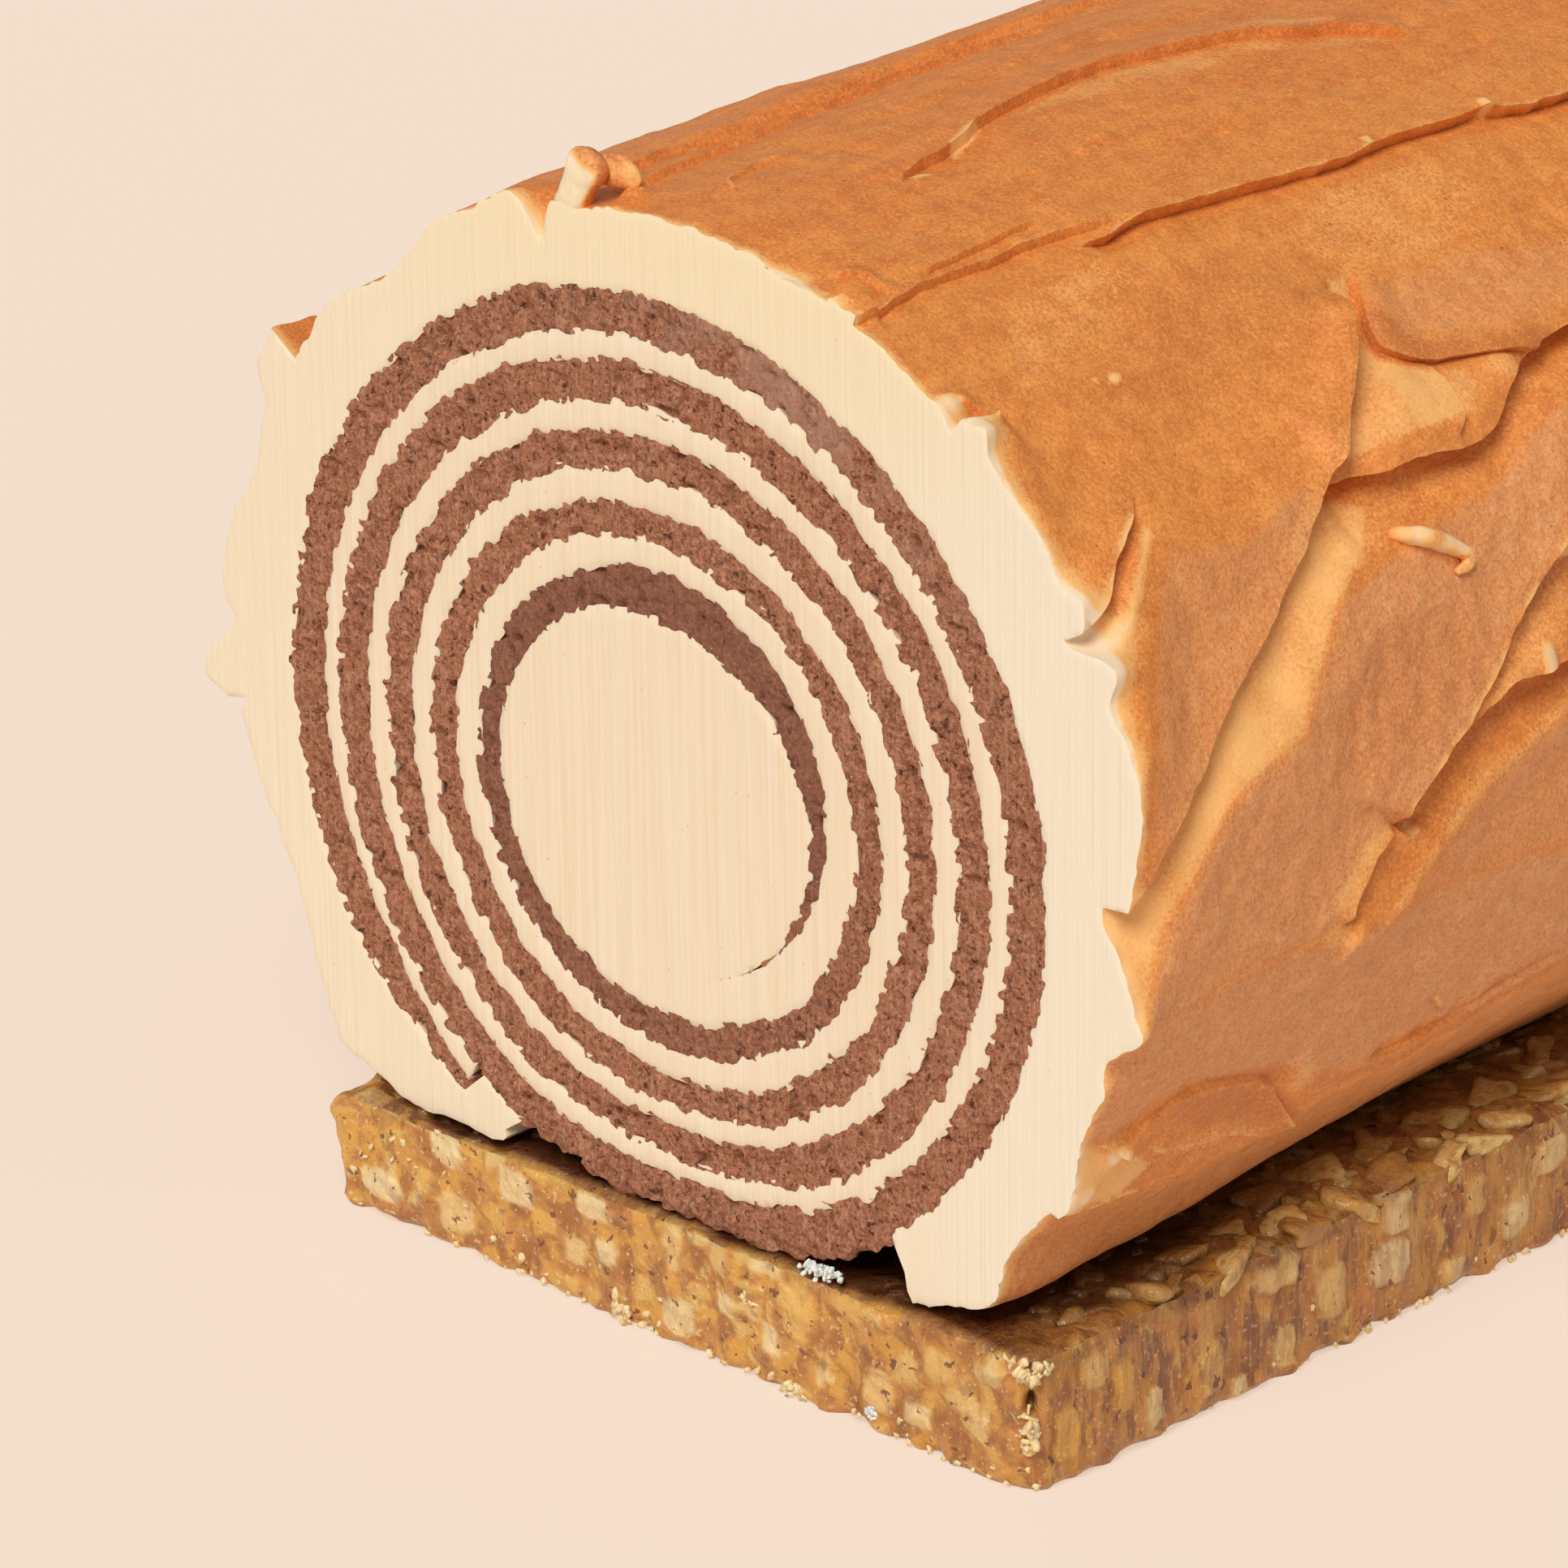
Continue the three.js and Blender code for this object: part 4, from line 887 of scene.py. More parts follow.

# Where it is thin and pale, and where light is painted as pale spray: share, softness in mm and outline as y
# and angle
THIN_SPRAY_AND_LIGHT = [
    (0.56, 0.7, [(0, -8.5), (4.3, 0.4), (8, 6.6), (12.3, 10.2), (17, 12), (21.3, 13.4), (24, 17.4),
                 (28, 22.3), (33, 25.5), (36, 29.5), (33, 32), (29.4, 30.2), (22, 23.6), (15.8, 19),
                 (9.7, 14), (4, 9), (0, 3.8)]),
    (0.28, 1.2, [(28, 24), (34, 25.4), (45, 27.4), (60, 33), (60, 37), (54, 33), (48, 30.5), (40, 31),
                 (33, 31)]),
    (0.50, 0.5, [(33, 34.5), (37.5, 39.6), (41, 44.2), (44.8, 50), (46.8, 49.6), (45.3, 45.7), (44.3, 43.3),
                 (44.4, 40.9), (47.4, 38.3), (51, 37.4), (51, 36), (49, 34), (44, 33.6), (38, 34)]),
    (0.45, 0.5, [(38.5, 7.9), (43.2, 9.3), (47.2, 10.2), (50.6, 10.6), (50.6, 12), (47, 11.8), (43, 10.8),
                 (39, 9.2)]),
    (0.60, 0.4, [(2, 26.8), (6.4, 29.8), (11.4, 34.8), (11.8, 33.8), (7, 28.8), (2.6, 25.8)]),
    (0.18, 0.6, [(25, 16.6), (29.3, 18.2), (36.5, 19.2), (45.3, 17.8), (45.3, 19.2), (36.5, 20.4),
                 (29, 19.8)]),
    (0.30, 0.7, [(22, 27.5), (29, 34), (33.5, 37.8), (35, 36.8), (31, 32.6), (26, 28.5)]),
    (0.40, 0.6, [(23.6, -7.6), (24.4, -3), (26.5, -0.6), (29.4, 1.6), (31.6, 2.4), (30.2, -0.4),
                 (28.2, -2.2), (26.6, -4.6), (26.2, -6.8), (29, -8), (32, -7.4), (30, -9.2), (25, -9)]),
    (0.36, 0.5, [(30, -8.4), (33, -7), (36, -4.2), (40, -1.6), (44, 1), (55, 5.6), (55, 6.8), (43, 2.8),
                 (38.6, -0.4), (34.6, -3.4), (32, -5.8)]),
    (0.25, 1.0, [(34, 1.5), (37, 0.5), (46, 4), (56, 7.6), (56, 6), (44, 1.6), (38, -1)]),
    (0.33, 0.8, [(34.5, 5.4), (40.4, 9.6), (48, 15.2), (54, 20), (56, 16), (51, 10.4), (46, 10.2),
                 (40.6, 8)]),
    # painted highlight along the bend at -8 degrees
    (0.30, 0.5, [(0, -9.6), (7, -8.6), (14, -7.6), (22, -7.8), (22, -6.8), (14, -6.8), (7, -7.6),
                 (0, -8.4)]),
    (0.30, 0.6, [(20, -33.6), (27, -32.2), (34, -29), (42, -30.4), (49, -29), (54, -27.2), (62, -26.2),
                 (95, -27.4), (95, -28.8), (62, -27.6), (54, -29), (49, -31), (42, -32), (34, -31.4),
                 (27, -34.4)]),
    (0.55, 0.8, [(0, -21), (4, -22), (8, -25.5), (12, -29), (8, -31), (0, -29)]),
    (0.30, 1.0, [(10, -25.6), (16, -26), (22, -28.6), (27, -32.4), (19, -31.4), (11, -29)]),
    (0.25, 1.0, [(24.5, -22), (27.5, -21.6), (30.6, -25), (29.8, -28.4), (27, -28.6), (25.4, -26)]),
    (0.22, 1.2, [(40, -13), (44, -17), (46, -22.5), (43.6, -24), (41, -20), (37, -15.5)]),
    # painted light: the scoop under the arch, lit where it faces up
    (0.36, 1.0, [(34, 82.6), (44, 84.6), (54.6, 85), (64, 82.8), (73, 79), (78, 74.6), (72.7, 75.2),
                 (63.4, 79.4), (50.3, 80.6), (40, 80.8)]),
    (0.35, 0.7, [(64, 84), (69.8, 81.6), (73.6, 80.2), (76, 81), (70, 84.4), (64, 86)]),
    (0.60, 0.4, [(26.4, 79.8), (28.4, 81), (32, 82.4), (33.6, 83), (30.6, 83.4), (27.2, 82)]),
    (0.30, 1.2, [(46, 50), (56, 48), (66, 52), (64, 58), (52, 59), (44, 56)]),
    (0.28, 1.5, [(8, 50), (20, 52), (30, 58), (24, 61), (12, 58)]),
]

# Flat strokes whose spray looks smooth and greyish tan; the greyish tan is partly a painted sheen
TAN_SPRAY_AND_SHEEN = [
    (0.70, 1.0, [(2, 5), (2.4, 13), (4.6, 20), (8.4, 26), (12, 31.6), (20, 30.4), (28, 33), (30, 31),
                 (22, 24), (15.8, 19.4), (9.7, 14.4)]),
    (0.95, 0.8, [(0.5, -8.4), (4.6, 0), (8.4, 6.4), (12.4, 9.8), (17, 11.8), (21.6, 13), (25, 18),
                 (29, 22.4), (36, 24.4), (48, 26.4), (60, 31), (54, 21), (44, 12.8), (36, 6.4), (31, 1.6),
                 (27, -0.6), (24, -6.6), (12, -6.8)]),
    (1.00, 0.8, [(0, -9.4), (12, -7.8), (22, -7.6), (27, -8.8), (37, -7.6), (46, -8.8), (80, -11.6),
                 (220, -9), (220, -28), (62, -25), (50, -26.6), (34, -27), (22, -21.6), (12, -18.6),
                 (5, -21.4), (0, -21)]),
    (0.85, 1.5, [(0, -33), (20, -35), (40, -33), (62, -29.5), (220, -31), (220, -54), (0, -54)]),
    (0.55, 1.2, [(47, 47), (60, 47.6), (70, 44), (66, 40), (56, 40), (47, 42)]),
    (0.70, 1.0, [(36, -6.4), (46, 2), (60, 7.6), (80, 12), (80, -9), (46, -7.6)]),
    (0.70, 4.0, [(0, 190), (220, 190), (220, 235), (0, 235)]),
]

# Where it is thick and dark, and where shadow is painted as dark spray: under the second fin, on the slope
# under its lip and along the edge above the shell
DARK_SPRAY_AND_SHADOW = [
    (0.60, 0.9, [(8, -21), (12.4, -19.6), (18, -21), (23, -23.6), (25, -26.6), (30, -33), (22, -28),
                 (14, -24.6)]),
    (0.55, 0.5, [(30, -27), (34, -27.6), (42, -28.8), (49, -27.4), (55, -25.4), (64, -24.4), (64, -25.6),
                 (54, -26.8), (49, -28.6), (42, -29.8), (34, -28.8)]),
    # painted shadow: the slope under the second fin's lip
    (0.45, 0.8, [(46, 8.6), (52, 8.4), (64, 13), (64, 10), (50, 6.6), (40, 4), (36, 3.4), (38, 5.6)]),
    # painted shade: along the edge above the shell
    (0.80, 0.5, [(46, 45.4), (44.6, 43.4), (44.6, 41.2), (47.5, 38.7), (51.5, 37.7), (55.8, 37.1),
                 (62, 36.8), (62, 38.8), (52.5, 39.8), (48.8, 41.2), (47, 45)]),
    (0.38, 3.0, [(25, 42), (40, 46), (44, 52), (36, 56), (22, 52), (18, 46)]),
    (0.35, 2.0, [(24, 8), (30, 6), (38, 9), (42, 13), (44, 16), (38, 18.5), (30, 17.5), (26, 14)]),
    # painted shadow under the second fin, with dark spray
    (0.75, 0.8, [(48, 15.2), (54.2, 20.4), (62, 27), (73, 35.4), (73, 33.4), (62, 24), (54.5, 17),
                 (49, 12.4)]),
]


def area_share(y, s, outline, softness):
    """1 well inside an outline, 0 outside it."""
    points = np.array([(a, math.radians(b) * COAT_RADIUS) for a, b in outline])
    near = near_box(y, s, points, softness)
    py, ps = y[near], s[near]
    distance = np.full(len(near), np.inf)
    inside = np.zeros(len(near), bool)
    for a, b in zip(points, np.roll(points, -1, axis=0)):
        run, rise = b - a
        _, dy, ds = to_segment(py, ps, a, b)
        distance = np.minimum(distance, np.hypot(dy, ds))
        crosses = (a[1] > ps) != (b[1] > ps)
        level = np.where(crosses, (ps - a[1]) / (rise if rise else 1), 0)
        inside ^= crosses & (py < a[0] + level * run)
    share = np.zeros(len(y))
    share[near] = smooth(np.where(inside, distance, -distance), -softness, softness)
    return share


def areas_share(y, s, areas):
    """The largest share of any of the areas at each point."""
    return np.max([share * area_share(y, s, outline, softness) for share, softness, outline in areas], axis=0)


def spray(y, s, thin):
    """How fully the caramel spray covers the bark, which is less also where light is painted, how tan it is
    (partly a painted sheen), how dark (thick spray, and painted shadow) and how deep an orange.
    """
    uy, us = uneven(y, s)
    where = flat3(y, s)
    angle = np.degrees(s / COAT_RADIUS)
    # thin: thin spray, and painted light on the scoop and along the bend at -8 degrees
    thin = np.maximum(thin, areas_share(uy, us, THIN_SPRAY_AND_LIGHT))
    tan, dark = areas_share(uy, us, TAN_SPRAY_AND_SHEEN), areas_share(uy, us, DARK_SPRAY_AND_SHADOW)
    start = np.interp(angle, *np.transpose(SPRAY_START))
    start = np.where(y > LOG_LENGTH / 2, 1.2 + 0.8 * noise(where, 6, 241), start)
    start = start * (1 + 0.3 * noise(where, 2.2, 242)) + 0.15 * noise(where, 1.1, 243)
    rim = np.minimum(y, LOG_LENGTH - y)
    feather = 0.25 + 0.3 * start
    covered = smooth(rim, start - feather, start + feather)
    strength = 0.48 + 0.52 * smooth(rim, start, start + 1.6 + 1.1 * start)
    patchy = 0.82 + 0.18 * noise(where, 2.6, 244)
    brown = np.clip(np.minimum(covered, strength) * (1 - thin * patchy), 0, 1)
    deep = between(angle, (56, 80), (125, 160)) * (1 - 0.7 * tan)
    return brown, tan, dark, deep


# ---- The cream coat ----

RIGHT_TOE, LEFT_TOE = -53.2, 243.8  # where the coat starts and ends on the slab, as angles
SKIN_LOW, SKIN_HIGH = (math.radians(a) * COAT_RADIUS for a in (RIGHT_TOE, LEFT_TOE))
COAT_INNER_START = 1388
FINE_SPACING, COARSE_SPACING = 0.37, 0.85  # mm between the points of the bark
FINE_LENGTH = 82  # the fine ones reach this far from the front cut end
FINE_TOP = math.radians(104) * COAT_RADIUS  # and this far up from the right side
RIM_BEVEL = 0.12
CREASE_CLEARANCE = 0.27  # how far the points keep off the creases' own lines
CUT_SPACING = 0.42  # mm between the points of the coat's cut ends
CUT_CLEARANCE = 0.25  # how far those keep off the rim
CUT_LEAST_RADIUS = 38  # no part of the coat's cut ends lies nearer to its axis


def crease_lines(item):
    """The edges of a crisp crease's step, or its bend's own line, as lines on the bark."""
    bend = item["above"] == item["below"]
    if item["step"] < CRISP_STEP and not (bend and abs(item["above"][0]) >= 0.5):
        return []
    along = np.arange(0, item["total"], FINE_SPACING)
    along = along[crease_fade(item, along) > 0.04]
    line = np.stack([np.interp(along, item["starts"], item["line"][:, i]) for i in range(2)], axis=-1)
    direction = np.gradient(line, axis=0)
    direction /= np.linalg.norm(direction, axis=1, keepdims=True)
    across = np.stack([-direction[:, 1], direction[:, 0]], axis=-1)
    lines = []
    for side in (0,) if bend else (-1, 1):
        target = line + side * STEP_SOFTNESS * across
        place = target.copy()
        for _ in range(6):
            place += target - np.stack(uneven(place[:, 0], place[:, 1]), axis=-1)
        if place[0, 0] < 0.5:
            place[0, 0] = RIM_BEVEL
        if place[-1, 0] > LOG_LENGTH - 0.8:
            place[-1, 0] = LOG_LENGTH - RIM_BEVEL
        place[1:-1, 0] = np.clip(place[1:-1, 0], RIM_BEVEL + 0.05, LOG_LENGTH - RIM_BEVEL - 0.05)
        lines.append(place)
    return lines


def scattered(low, high, spacing, draw):
    """Points spread over a rectangle, each a little off an even place."""
    counts = np.ceil((np.array(high) - low) / spacing).astype(int)
    gy, gs = np.meshgrid(np.arange(counts[0]), np.arange(counts[1]), indexing="ij")
    even = np.stack([gy + 0.5 * (gs % 2), gs + 0.0], axis=-1).reshape(-1, 2)
    points = np.array(low) + (even + 0.5) * spacing + draw.uniform(-0.22, 0.22, even.shape) * spacing
    inside = (points > np.array(low) + 0.2).all(1) & (points < np.array(high) - 0.2).all(1)
    return points[inside]


def skin_triangles():
    """The bark's skin laid flat: points as y and distance round, and triangles."""
    draw = np.random.default_rng(33)
    front, back = RIM_BEVEL, LOG_LENGTH - RIM_BEVEL
    sides = [
        [(front, s) for s in np.arange(SKIN_LOW, SKIN_HIGH, 0.33)],
        [(y, SKIN_HIGH) for y in np.arange(front, back, 0.8)],
        [(back, s) for s in np.arange(SKIN_HIGH, SKIN_LOW, -0.8)],
        [(y, SKIN_LOW) for y in np.arange(back, front, -0.6)],
    ]
    outline = [point for side in sides for point in side]
    points, edges = list(outline), []
    lines = [line for item in CREASES for line in crease_lines(item)]
    for line in lines:
        start = len(points)
        points.extend(map(tuple, line))
        edges.extend((start + i, start + i + 1) for i in range(len(line) - 1))
    inside = np.vstack([
        scattered((front, SKIN_LOW), (FINE_LENGTH, FINE_TOP), FINE_SPACING, draw),
        scattered((FINE_LENGTH, SKIN_LOW), (back, FINE_TOP), COARSE_SPACING, draw),
        scattered((front, FINE_TOP), (back, SKIN_HIGH), COARSE_SPACING, draw),
    ])
    taken = np.floor(np.vstack(lines) / CREASE_CLEARANCE).astype(int)
    around = [taken + (i, j) for i in (-1, 0, 1) for j in (-1, 0, 1)]
    width = 4096
    taken = np.unique(np.concatenate([cells[:, 0] * width + cells[:, 1] for cells in around]))
    cells = np.floor(inside / CREASE_CLEARANCE).astype(int)
    inside = inside[~np.isin(cells[:, 0] * width + cells[:, 1], taken)]
    points.extend(map(tuple, inside))
    found = delaunay_2d_cdt(points, edges, [list(range(len(outline)))], 1, 1e-5)
    return tidy_triangles(found)


def tidy_triangles(found):
    """Arrays of the used points and of the triangles, all facing one way."""
    vertices = np.array([tuple(v) for v in found[0]])
    triangles = np.array([f for f in found[2] if len(f) == 3])
    a, b, c = (vertices[triangles[:, i]] for i in range(3))
    area = (b[:, 0] - a[:, 0]) * (c[:, 1] - a[:, 1]) - (b[:, 1] - a[:, 1]) * (c[:, 0] - a[:, 0])
    triangles[area < 0] = triangles[area < 0][:, ::-1]
    triangles = triangles[np.abs(area) > 1e-9]
    used, index = np.unique(triangles, return_inverse=True)
    return vertices[used], index.reshape(-1, 3)


def coat_inner_line(reach):
    """The coat's inner edge in the section, from its right toe to its left one; reach moves it away
    from the sponge."""
    touching = even_angles(COAT_INNER_START, SPONGE_END)
    line = edge_line(touching, 1, reach)
    past = np.array([SPONGE_END + 1.0, SPONGE_END + 3.5, SPONGE_END + 9.0])
    tail = roll_point(past, sponge_outer(past - 360) + 0.3 + reach)
    left = [[-19.5, slab_top(-19.5) + 1.7], [-19.3, slab_top(-19.3) + 1.1], [-19.8, slab_top(-19.8) + 0.6],
            [-21.2, slab_top(-21.2) + GAP]]
    right = [[28.9, slab_top(28.9) + 0.45], [28.3, slab_top(28.3) + 1.4], [28.0, slab_top(28) + 3.0]]
    above_toe = (line[:, 1] > slab_top(28) + 3.4) | (line[:, 0] < 0)
    return np.vstack([right, line[above_toe], tail, left])


def stitch(first, second, y):
    """Triangles between two lines of vertices that both run along the log."""
    i = j = 0
    triangles = []
    while i + 1 < len(first) or j + 1 < len(second):
        if j + 1 == len(second) or (i + 1 < len(first) and y[first[i + 1]] <= y[second[j + 1]]):
            triangles.append((first[i], first[i + 1], second[j]))
            i += 1
        else:
            triangles.append((first[i], second[j + 1], second[j]))
            j += 1
    return np.array(triangles)


def coat_end(rim, inner, seed):
    """Triangles of one cut end, between the rim and the inner edge, and each point's depth."""
    outline = np.vstack([rim, inner[::-1]])
    draw = np.random.default_rng(seed)
    inside = scattered(outline.min(0), outline.max(0), CUT_SPACING, draw)
    polar = np.unwrap(np.arctan2(rim[:, 1] - COAT_CENTRE_Z, rim[:, 0]))
    angle = np.arctan2(inside[:, 1] - COAT_CENTRE_Z, inside[:, 0])
    angle = np.where(angle < math.radians(-80), angle + 2 * math.pi, angle)
    order = np.argsort(polar)
    reach = np.interp(angle, polar[order], np.hypot(rim[:, 0], rim[:, 1] - COAT_CENTRE_Z)[order])
    radius = np.hypot(inside[:, 0], inside[:, 1] - COAT_CENTRE_Z)
    field, _ = field_at(inside)
    clear = (radius < reach - CUT_CLEARANCE) & (radius > CUT_LEAST_RADIUS)
    clear &= field > EDGE_CLEARANCE - INTRUSION
    points = np.vstack([outline, inside[clear]]).tolist()
    found = delaunay_2d_cdt(points, [], [list(range(len(outline)))], 1, 1e-6)
    flat, triangles = tidy_triangles(found)
    field, _ = field_at(flat)
    depth = cream_depth(flat, field, seed)
    on_rim = np.isin((flat[:, 0] + 1j * flat[:, 1]).round(4), (rim[:, 0] + 1j * rim[:, 1]).round(4))
    return flat, triangles, np.where(on_rim, RIM_BEVEL, depth)


def on_line(values, at, order):
    """Indices of the points whose value is the given one, in order of another value."""
    found = np.nonzero(np.abs(values - at) < 1e-4)[0]
    return found[np.argsort(order[found])]


def build_coat(material):
    flat, triangles = skin_triangles()
    y, s = flat[:, 0].copy(), flat[:, 1].copy()
    height, over, thin = bark(y, s)
    edge = smooth(y, RIM_BEVEL, 1.2) * smooth(LOG_LENGTH - y, RIM_BEVEL, 1.2)
    y_over = np.clip(y + over[:, 0] * edge, RIM_BEVEL, LOG_LENGTH - RIM_BEVEL)
    skin = coat_point(y_over, s + over[:, 1], height)

    # The cut ends
    vertices, faces = [skin], [triangles]
    count = len(skin)
    inner_cut, inner_wall = coat_inner_line(-INTRUSION), coat_inner_line(-0.02)
    half = LOG_LENGTH / 2
    inner_depth = []
    for end, place in enumerate((RIM_BEVEL, LOG_LENGTH - RIM_BEVEL)):
        seed = 90 + 5 * end
        rim = skin[on_line(y, place, s)]
        points, cut, depth = coat_end(rim[:, [0, 2]], inner_cut, seed)
        level = half - depth if end else depth - half
        vertices.append(np.stack([points[:, 0], level, points[:, 1]], axis=-1))
        faces.append((cut[:, ::-1] if end else cut) + count)
        count += len(points)
        inner_depth.append(cream_depth(inner_cut, field_at(inner_cut)[0], seed))

    # The inside, and the feet's undersides between it and the bark
    rings = []
    for line, level in ((inner_cut, inner_depth[0] - half), (inner_wall, WALL_DEPTH - half),
                        (inner_wall, half - WALL_DEPTH), (inner_cut, half - inner_depth[1])):
        vertices.append(np.stack([line[:, 0], np.broadcast_to(level, len(line)), line[:, 1]], axis=-1))
        rings.append(count + np.arange(len(line)))
        count += len(line)
    faces.append(grid_quads(np.array(rings)))
    vertices = np.vstack(vertices)
    along = vertices[:, 1]
    faces.append(stitch(on_line(s, SKIN_LOW, y), [ring[0] for ring in rings], along)[:, ::-1])
    faces.append(stitch(on_line(s, SKIN_HIGH, y), [ring[-1] for ring in rings], along))

    extra = np.zeros(len(vertices) - len(skin))
    sprayed = zip(("brown", "tan", "dark", "deep"), spray(y, s, thin))
    attributes = {name: np.append(values, extra) for name, values in sprayed}
    attributes["cut"] = np.append(np.zeros(len(skin)), extra + 1)
    make_piece("cream_bark", vertices, faces, material, attributes,
               sharp=60, replaced="cream_coat")


# ---- Curled pieces of cream that stand off the bark ----

# The tongue that stands on the rim of the cut end, from its base up: x, y, z, half width and half
# thickness. Its front was cut with the cake.
RIM_CURL = [
    (-10.0, -107.9, 95.5, 2.2, 0.9), (-9.9, -108.5, 97.4, 2.0, 1.1), (-9.3, -108.8, 99.2, 1.6, 1.1),
    (-8.6, -108.8, 100.8, 1.6, 1.15), (-8.0, -108.7, 102.0, 1.9, 1.3), (-7.6, -108.5, 102.9, 1.7, 1.2),
    (-7.4, -108.3, 103.4, 0.9, 0.7),
]
# The small flap behind it
RIM_FLAP = [
    (-8.2, -107.4, 101.0, 0.7, 0.4), (-7.2, -107.1, 101.5, 1.4, 0.55), (-6.1, -107.0, 101.8, 1.5, 0.6),
    (-5.2, -106.9, 101.6, 1.25, 0.5), (-4.5, -106.7, 101.3, 0.9, 0.45), (-4.0, -106.5, 101.0, 0.35, 0.3),
]
# The one that lies on the bark: y, angle, height over the bark, half width and half thickness
SIDE_CURL = [
    (36.6, 26.4, 0.0, 0.4, 0.3), (37.6, 26.0, 0.4, 0.7, 0.9), (39.2, 25.2, 0.5, 0.75, 1.15),
    (40.9, 24.2, 0.5, 0.7, 0.95), (42.6, 23.1, 0.5, 0.6, 0.7), (43.6, 22.2, 0.5, 0.55, 0.6),
    (43.2, 21.4, 0.45, 0.5, 0.5), (42.0, 21.2, 0.2, 0.3, 0.3),
]
SIDE_CURL_ANGLE = 24  # it stands off the bark in this direction round the log


def bent_tongue(levels, across):
    """A closed body along a bent line; `across` is the direction of its width. The last of what
    is returned is 1 on the side that faces out and -1 on the other."""
    line = rounded_line(levels, 5)
    centre = line[:, :3]
    along = np.gradient(centre, axis=0)
    along /= np.linalg.norm(along, axis=1, keepdims=True)
    side = np.array(across) - (along @ np.array(across))[:, None] * along
    side /= np.linalg.norm(side, axis=1, keepdims=True)
    out = np.cross(along, side)
    turn = np.linspace(0, 2 * math.pi, 28, endpoint=False)
    c, s = (np.sign(v) * np.abs(v) ** 0.75 for v in (np.cos(turn), np.sin(turn)))
    rings = (centre[:, None] + side[:, None] * (line[:, 3:4] * c)[..., None]
             + out[:, None] * (line[:, 4:5] * s)[..., None])
    rings += 0.1 * noise(rings, 0.9, 261)[..., None] * out[:, None]
    count = len(line) * len(turn)
    vertices = np.vstack([rings.reshape(-1, 3), centre[:1], centre[-1:]])
    index = np.arange(count).reshape(len(line), -1)
    index = np.column_stack([index, index[:, 0]])
    first, last = index[0], index[-1]
    fans = [np.stack([first[1:], first[:-1], np.full(len(turn), count)], axis=-1),
            np.stack([last[:-1], last[1:], np.full(len(turn), count + 1)], axis=-1)]
    return vertices, [grid_quads(index), *fans], np.append(np.tile(s, len(line)), [0, 0])


def build_curls(material):
    vertices, faces, facing = bent_tongue(RIM_CURL, (1, 0, 0))
    top = smooth(vertices[:, 2] + 0.5 * (vertices[:, 0] + 8), 102.6, 103.6)
    brown = np.maximum(smooth(facing, -0.8, -0.25), 0.8 * top)
    attributes = {"brown": brown, "tan": 0.5 * brown, "cut": 1 - brown}
    make_piece("rim_curl", vertices, faces, material, attributes)
    vertices, faces, _ = bent_tongue(RIM_FLAP, (0, 0, 1))
    brown = 0.55 + 0.4 * smooth(noise(vertices, 1.4, 263), -0.4, 0.5)
    make_piece("rim_flap", vertices, faces, material, {"brown": brown, "tan": 0.6 * brown})

    y, angle, lift, half_width, half_depth = np.transpose(SIDE_CURL)
    s = np.radians(angle) * COAT_RADIUS
    height, _, _ = bark(y, s)
    centre = coat_point(y, s, height + lift)
    turn = math.radians(SIDE_CURL_ANGLE)
    off_bark = (math.cos(turn), 0, math.sin(turn))
    vertices, faces, _ = bent_tongue(np.column_stack([centre, half_depth, half_width]), off_bark)
    brown = 0.22 + 0.4 * smooth(noise(vertices, 1.4, 262), -0.4, 0.5)
    make_piece("side_curl", vertices, faces, material, {"brown": brown})


# ---- The nut slab ----

SLAB_LEFT, SLAB_RIGHT = -39.2, 43.7
SLAB_OVERHANG = 1.5
SLAB_CORNER_RADIUS, SLAB_SHARP_CORNER_RADIUS = 3.5, 1.3  # the front left corner is the sharp one
SLAB_EDGE_ROUNDING = 1.1
SLAB_CENTRE_X = (SLAB_LEFT + SLAB_RIGHT) / 2
SLAB_HALF_X = (SLAB_RIGHT - SLAB_LEFT) / 2
SLAB_HALF_Y = LOG_LENGTH / 2 + SLAB_OVERHANG
SLAB_FINE, SLAB_STEP, SLAB_COARSE = 0.3, 0.6, 0.8  # mm between the points of its top
SLAB_LEVELS = 30  # lines round its sides
LUMP_LIMIT = 0.15  # the top's lumps are cut off level at this height
SHADE_REACH = (7, 23)  # mm from the cake over which the painted shade on the slab's top fades out
FULL_SHADE_DEPTH, SHADE_DEPTH = 0.9, 2.4  # and mm below the top between which it fades out down the sides
CAKE_LEFT, CAKE_RIGHT = -19, 27  # the slab lies free beyond these
NIBS_LEFT, NIBS_RIGHT = -17, 27.5  # and the nibs in its top lie beyond these
NIB_LIMIT = 0.55  # how far the small nibs stand out of the top at most
CRUMB_INSET = 0.2  # the crumbs' centres keep this far inside the slab's own box


def spaced(stops):
    """Numbers from the first stop to the last, with each stretch's own spacing."""
    values = []
    for (start, step), (end, _) in zip(stops, stops[1:]):
        values.extend(np.linspace(start, end, max(2, round((end - start) / step)), endpoint=False))
    return np.array(values + [stops[-1][0]])


def slab_corner(x, y):
    """Where the rounding of the nearest corner starts."""
    radius = np.where((x < 0) & (y < 0), SLAB_SHARP_CORNER_RADIUS, SLAB_CORNER_RADIUS)
    return SLAB_HALF_X - radius, SLAB_HALF_Y - radius


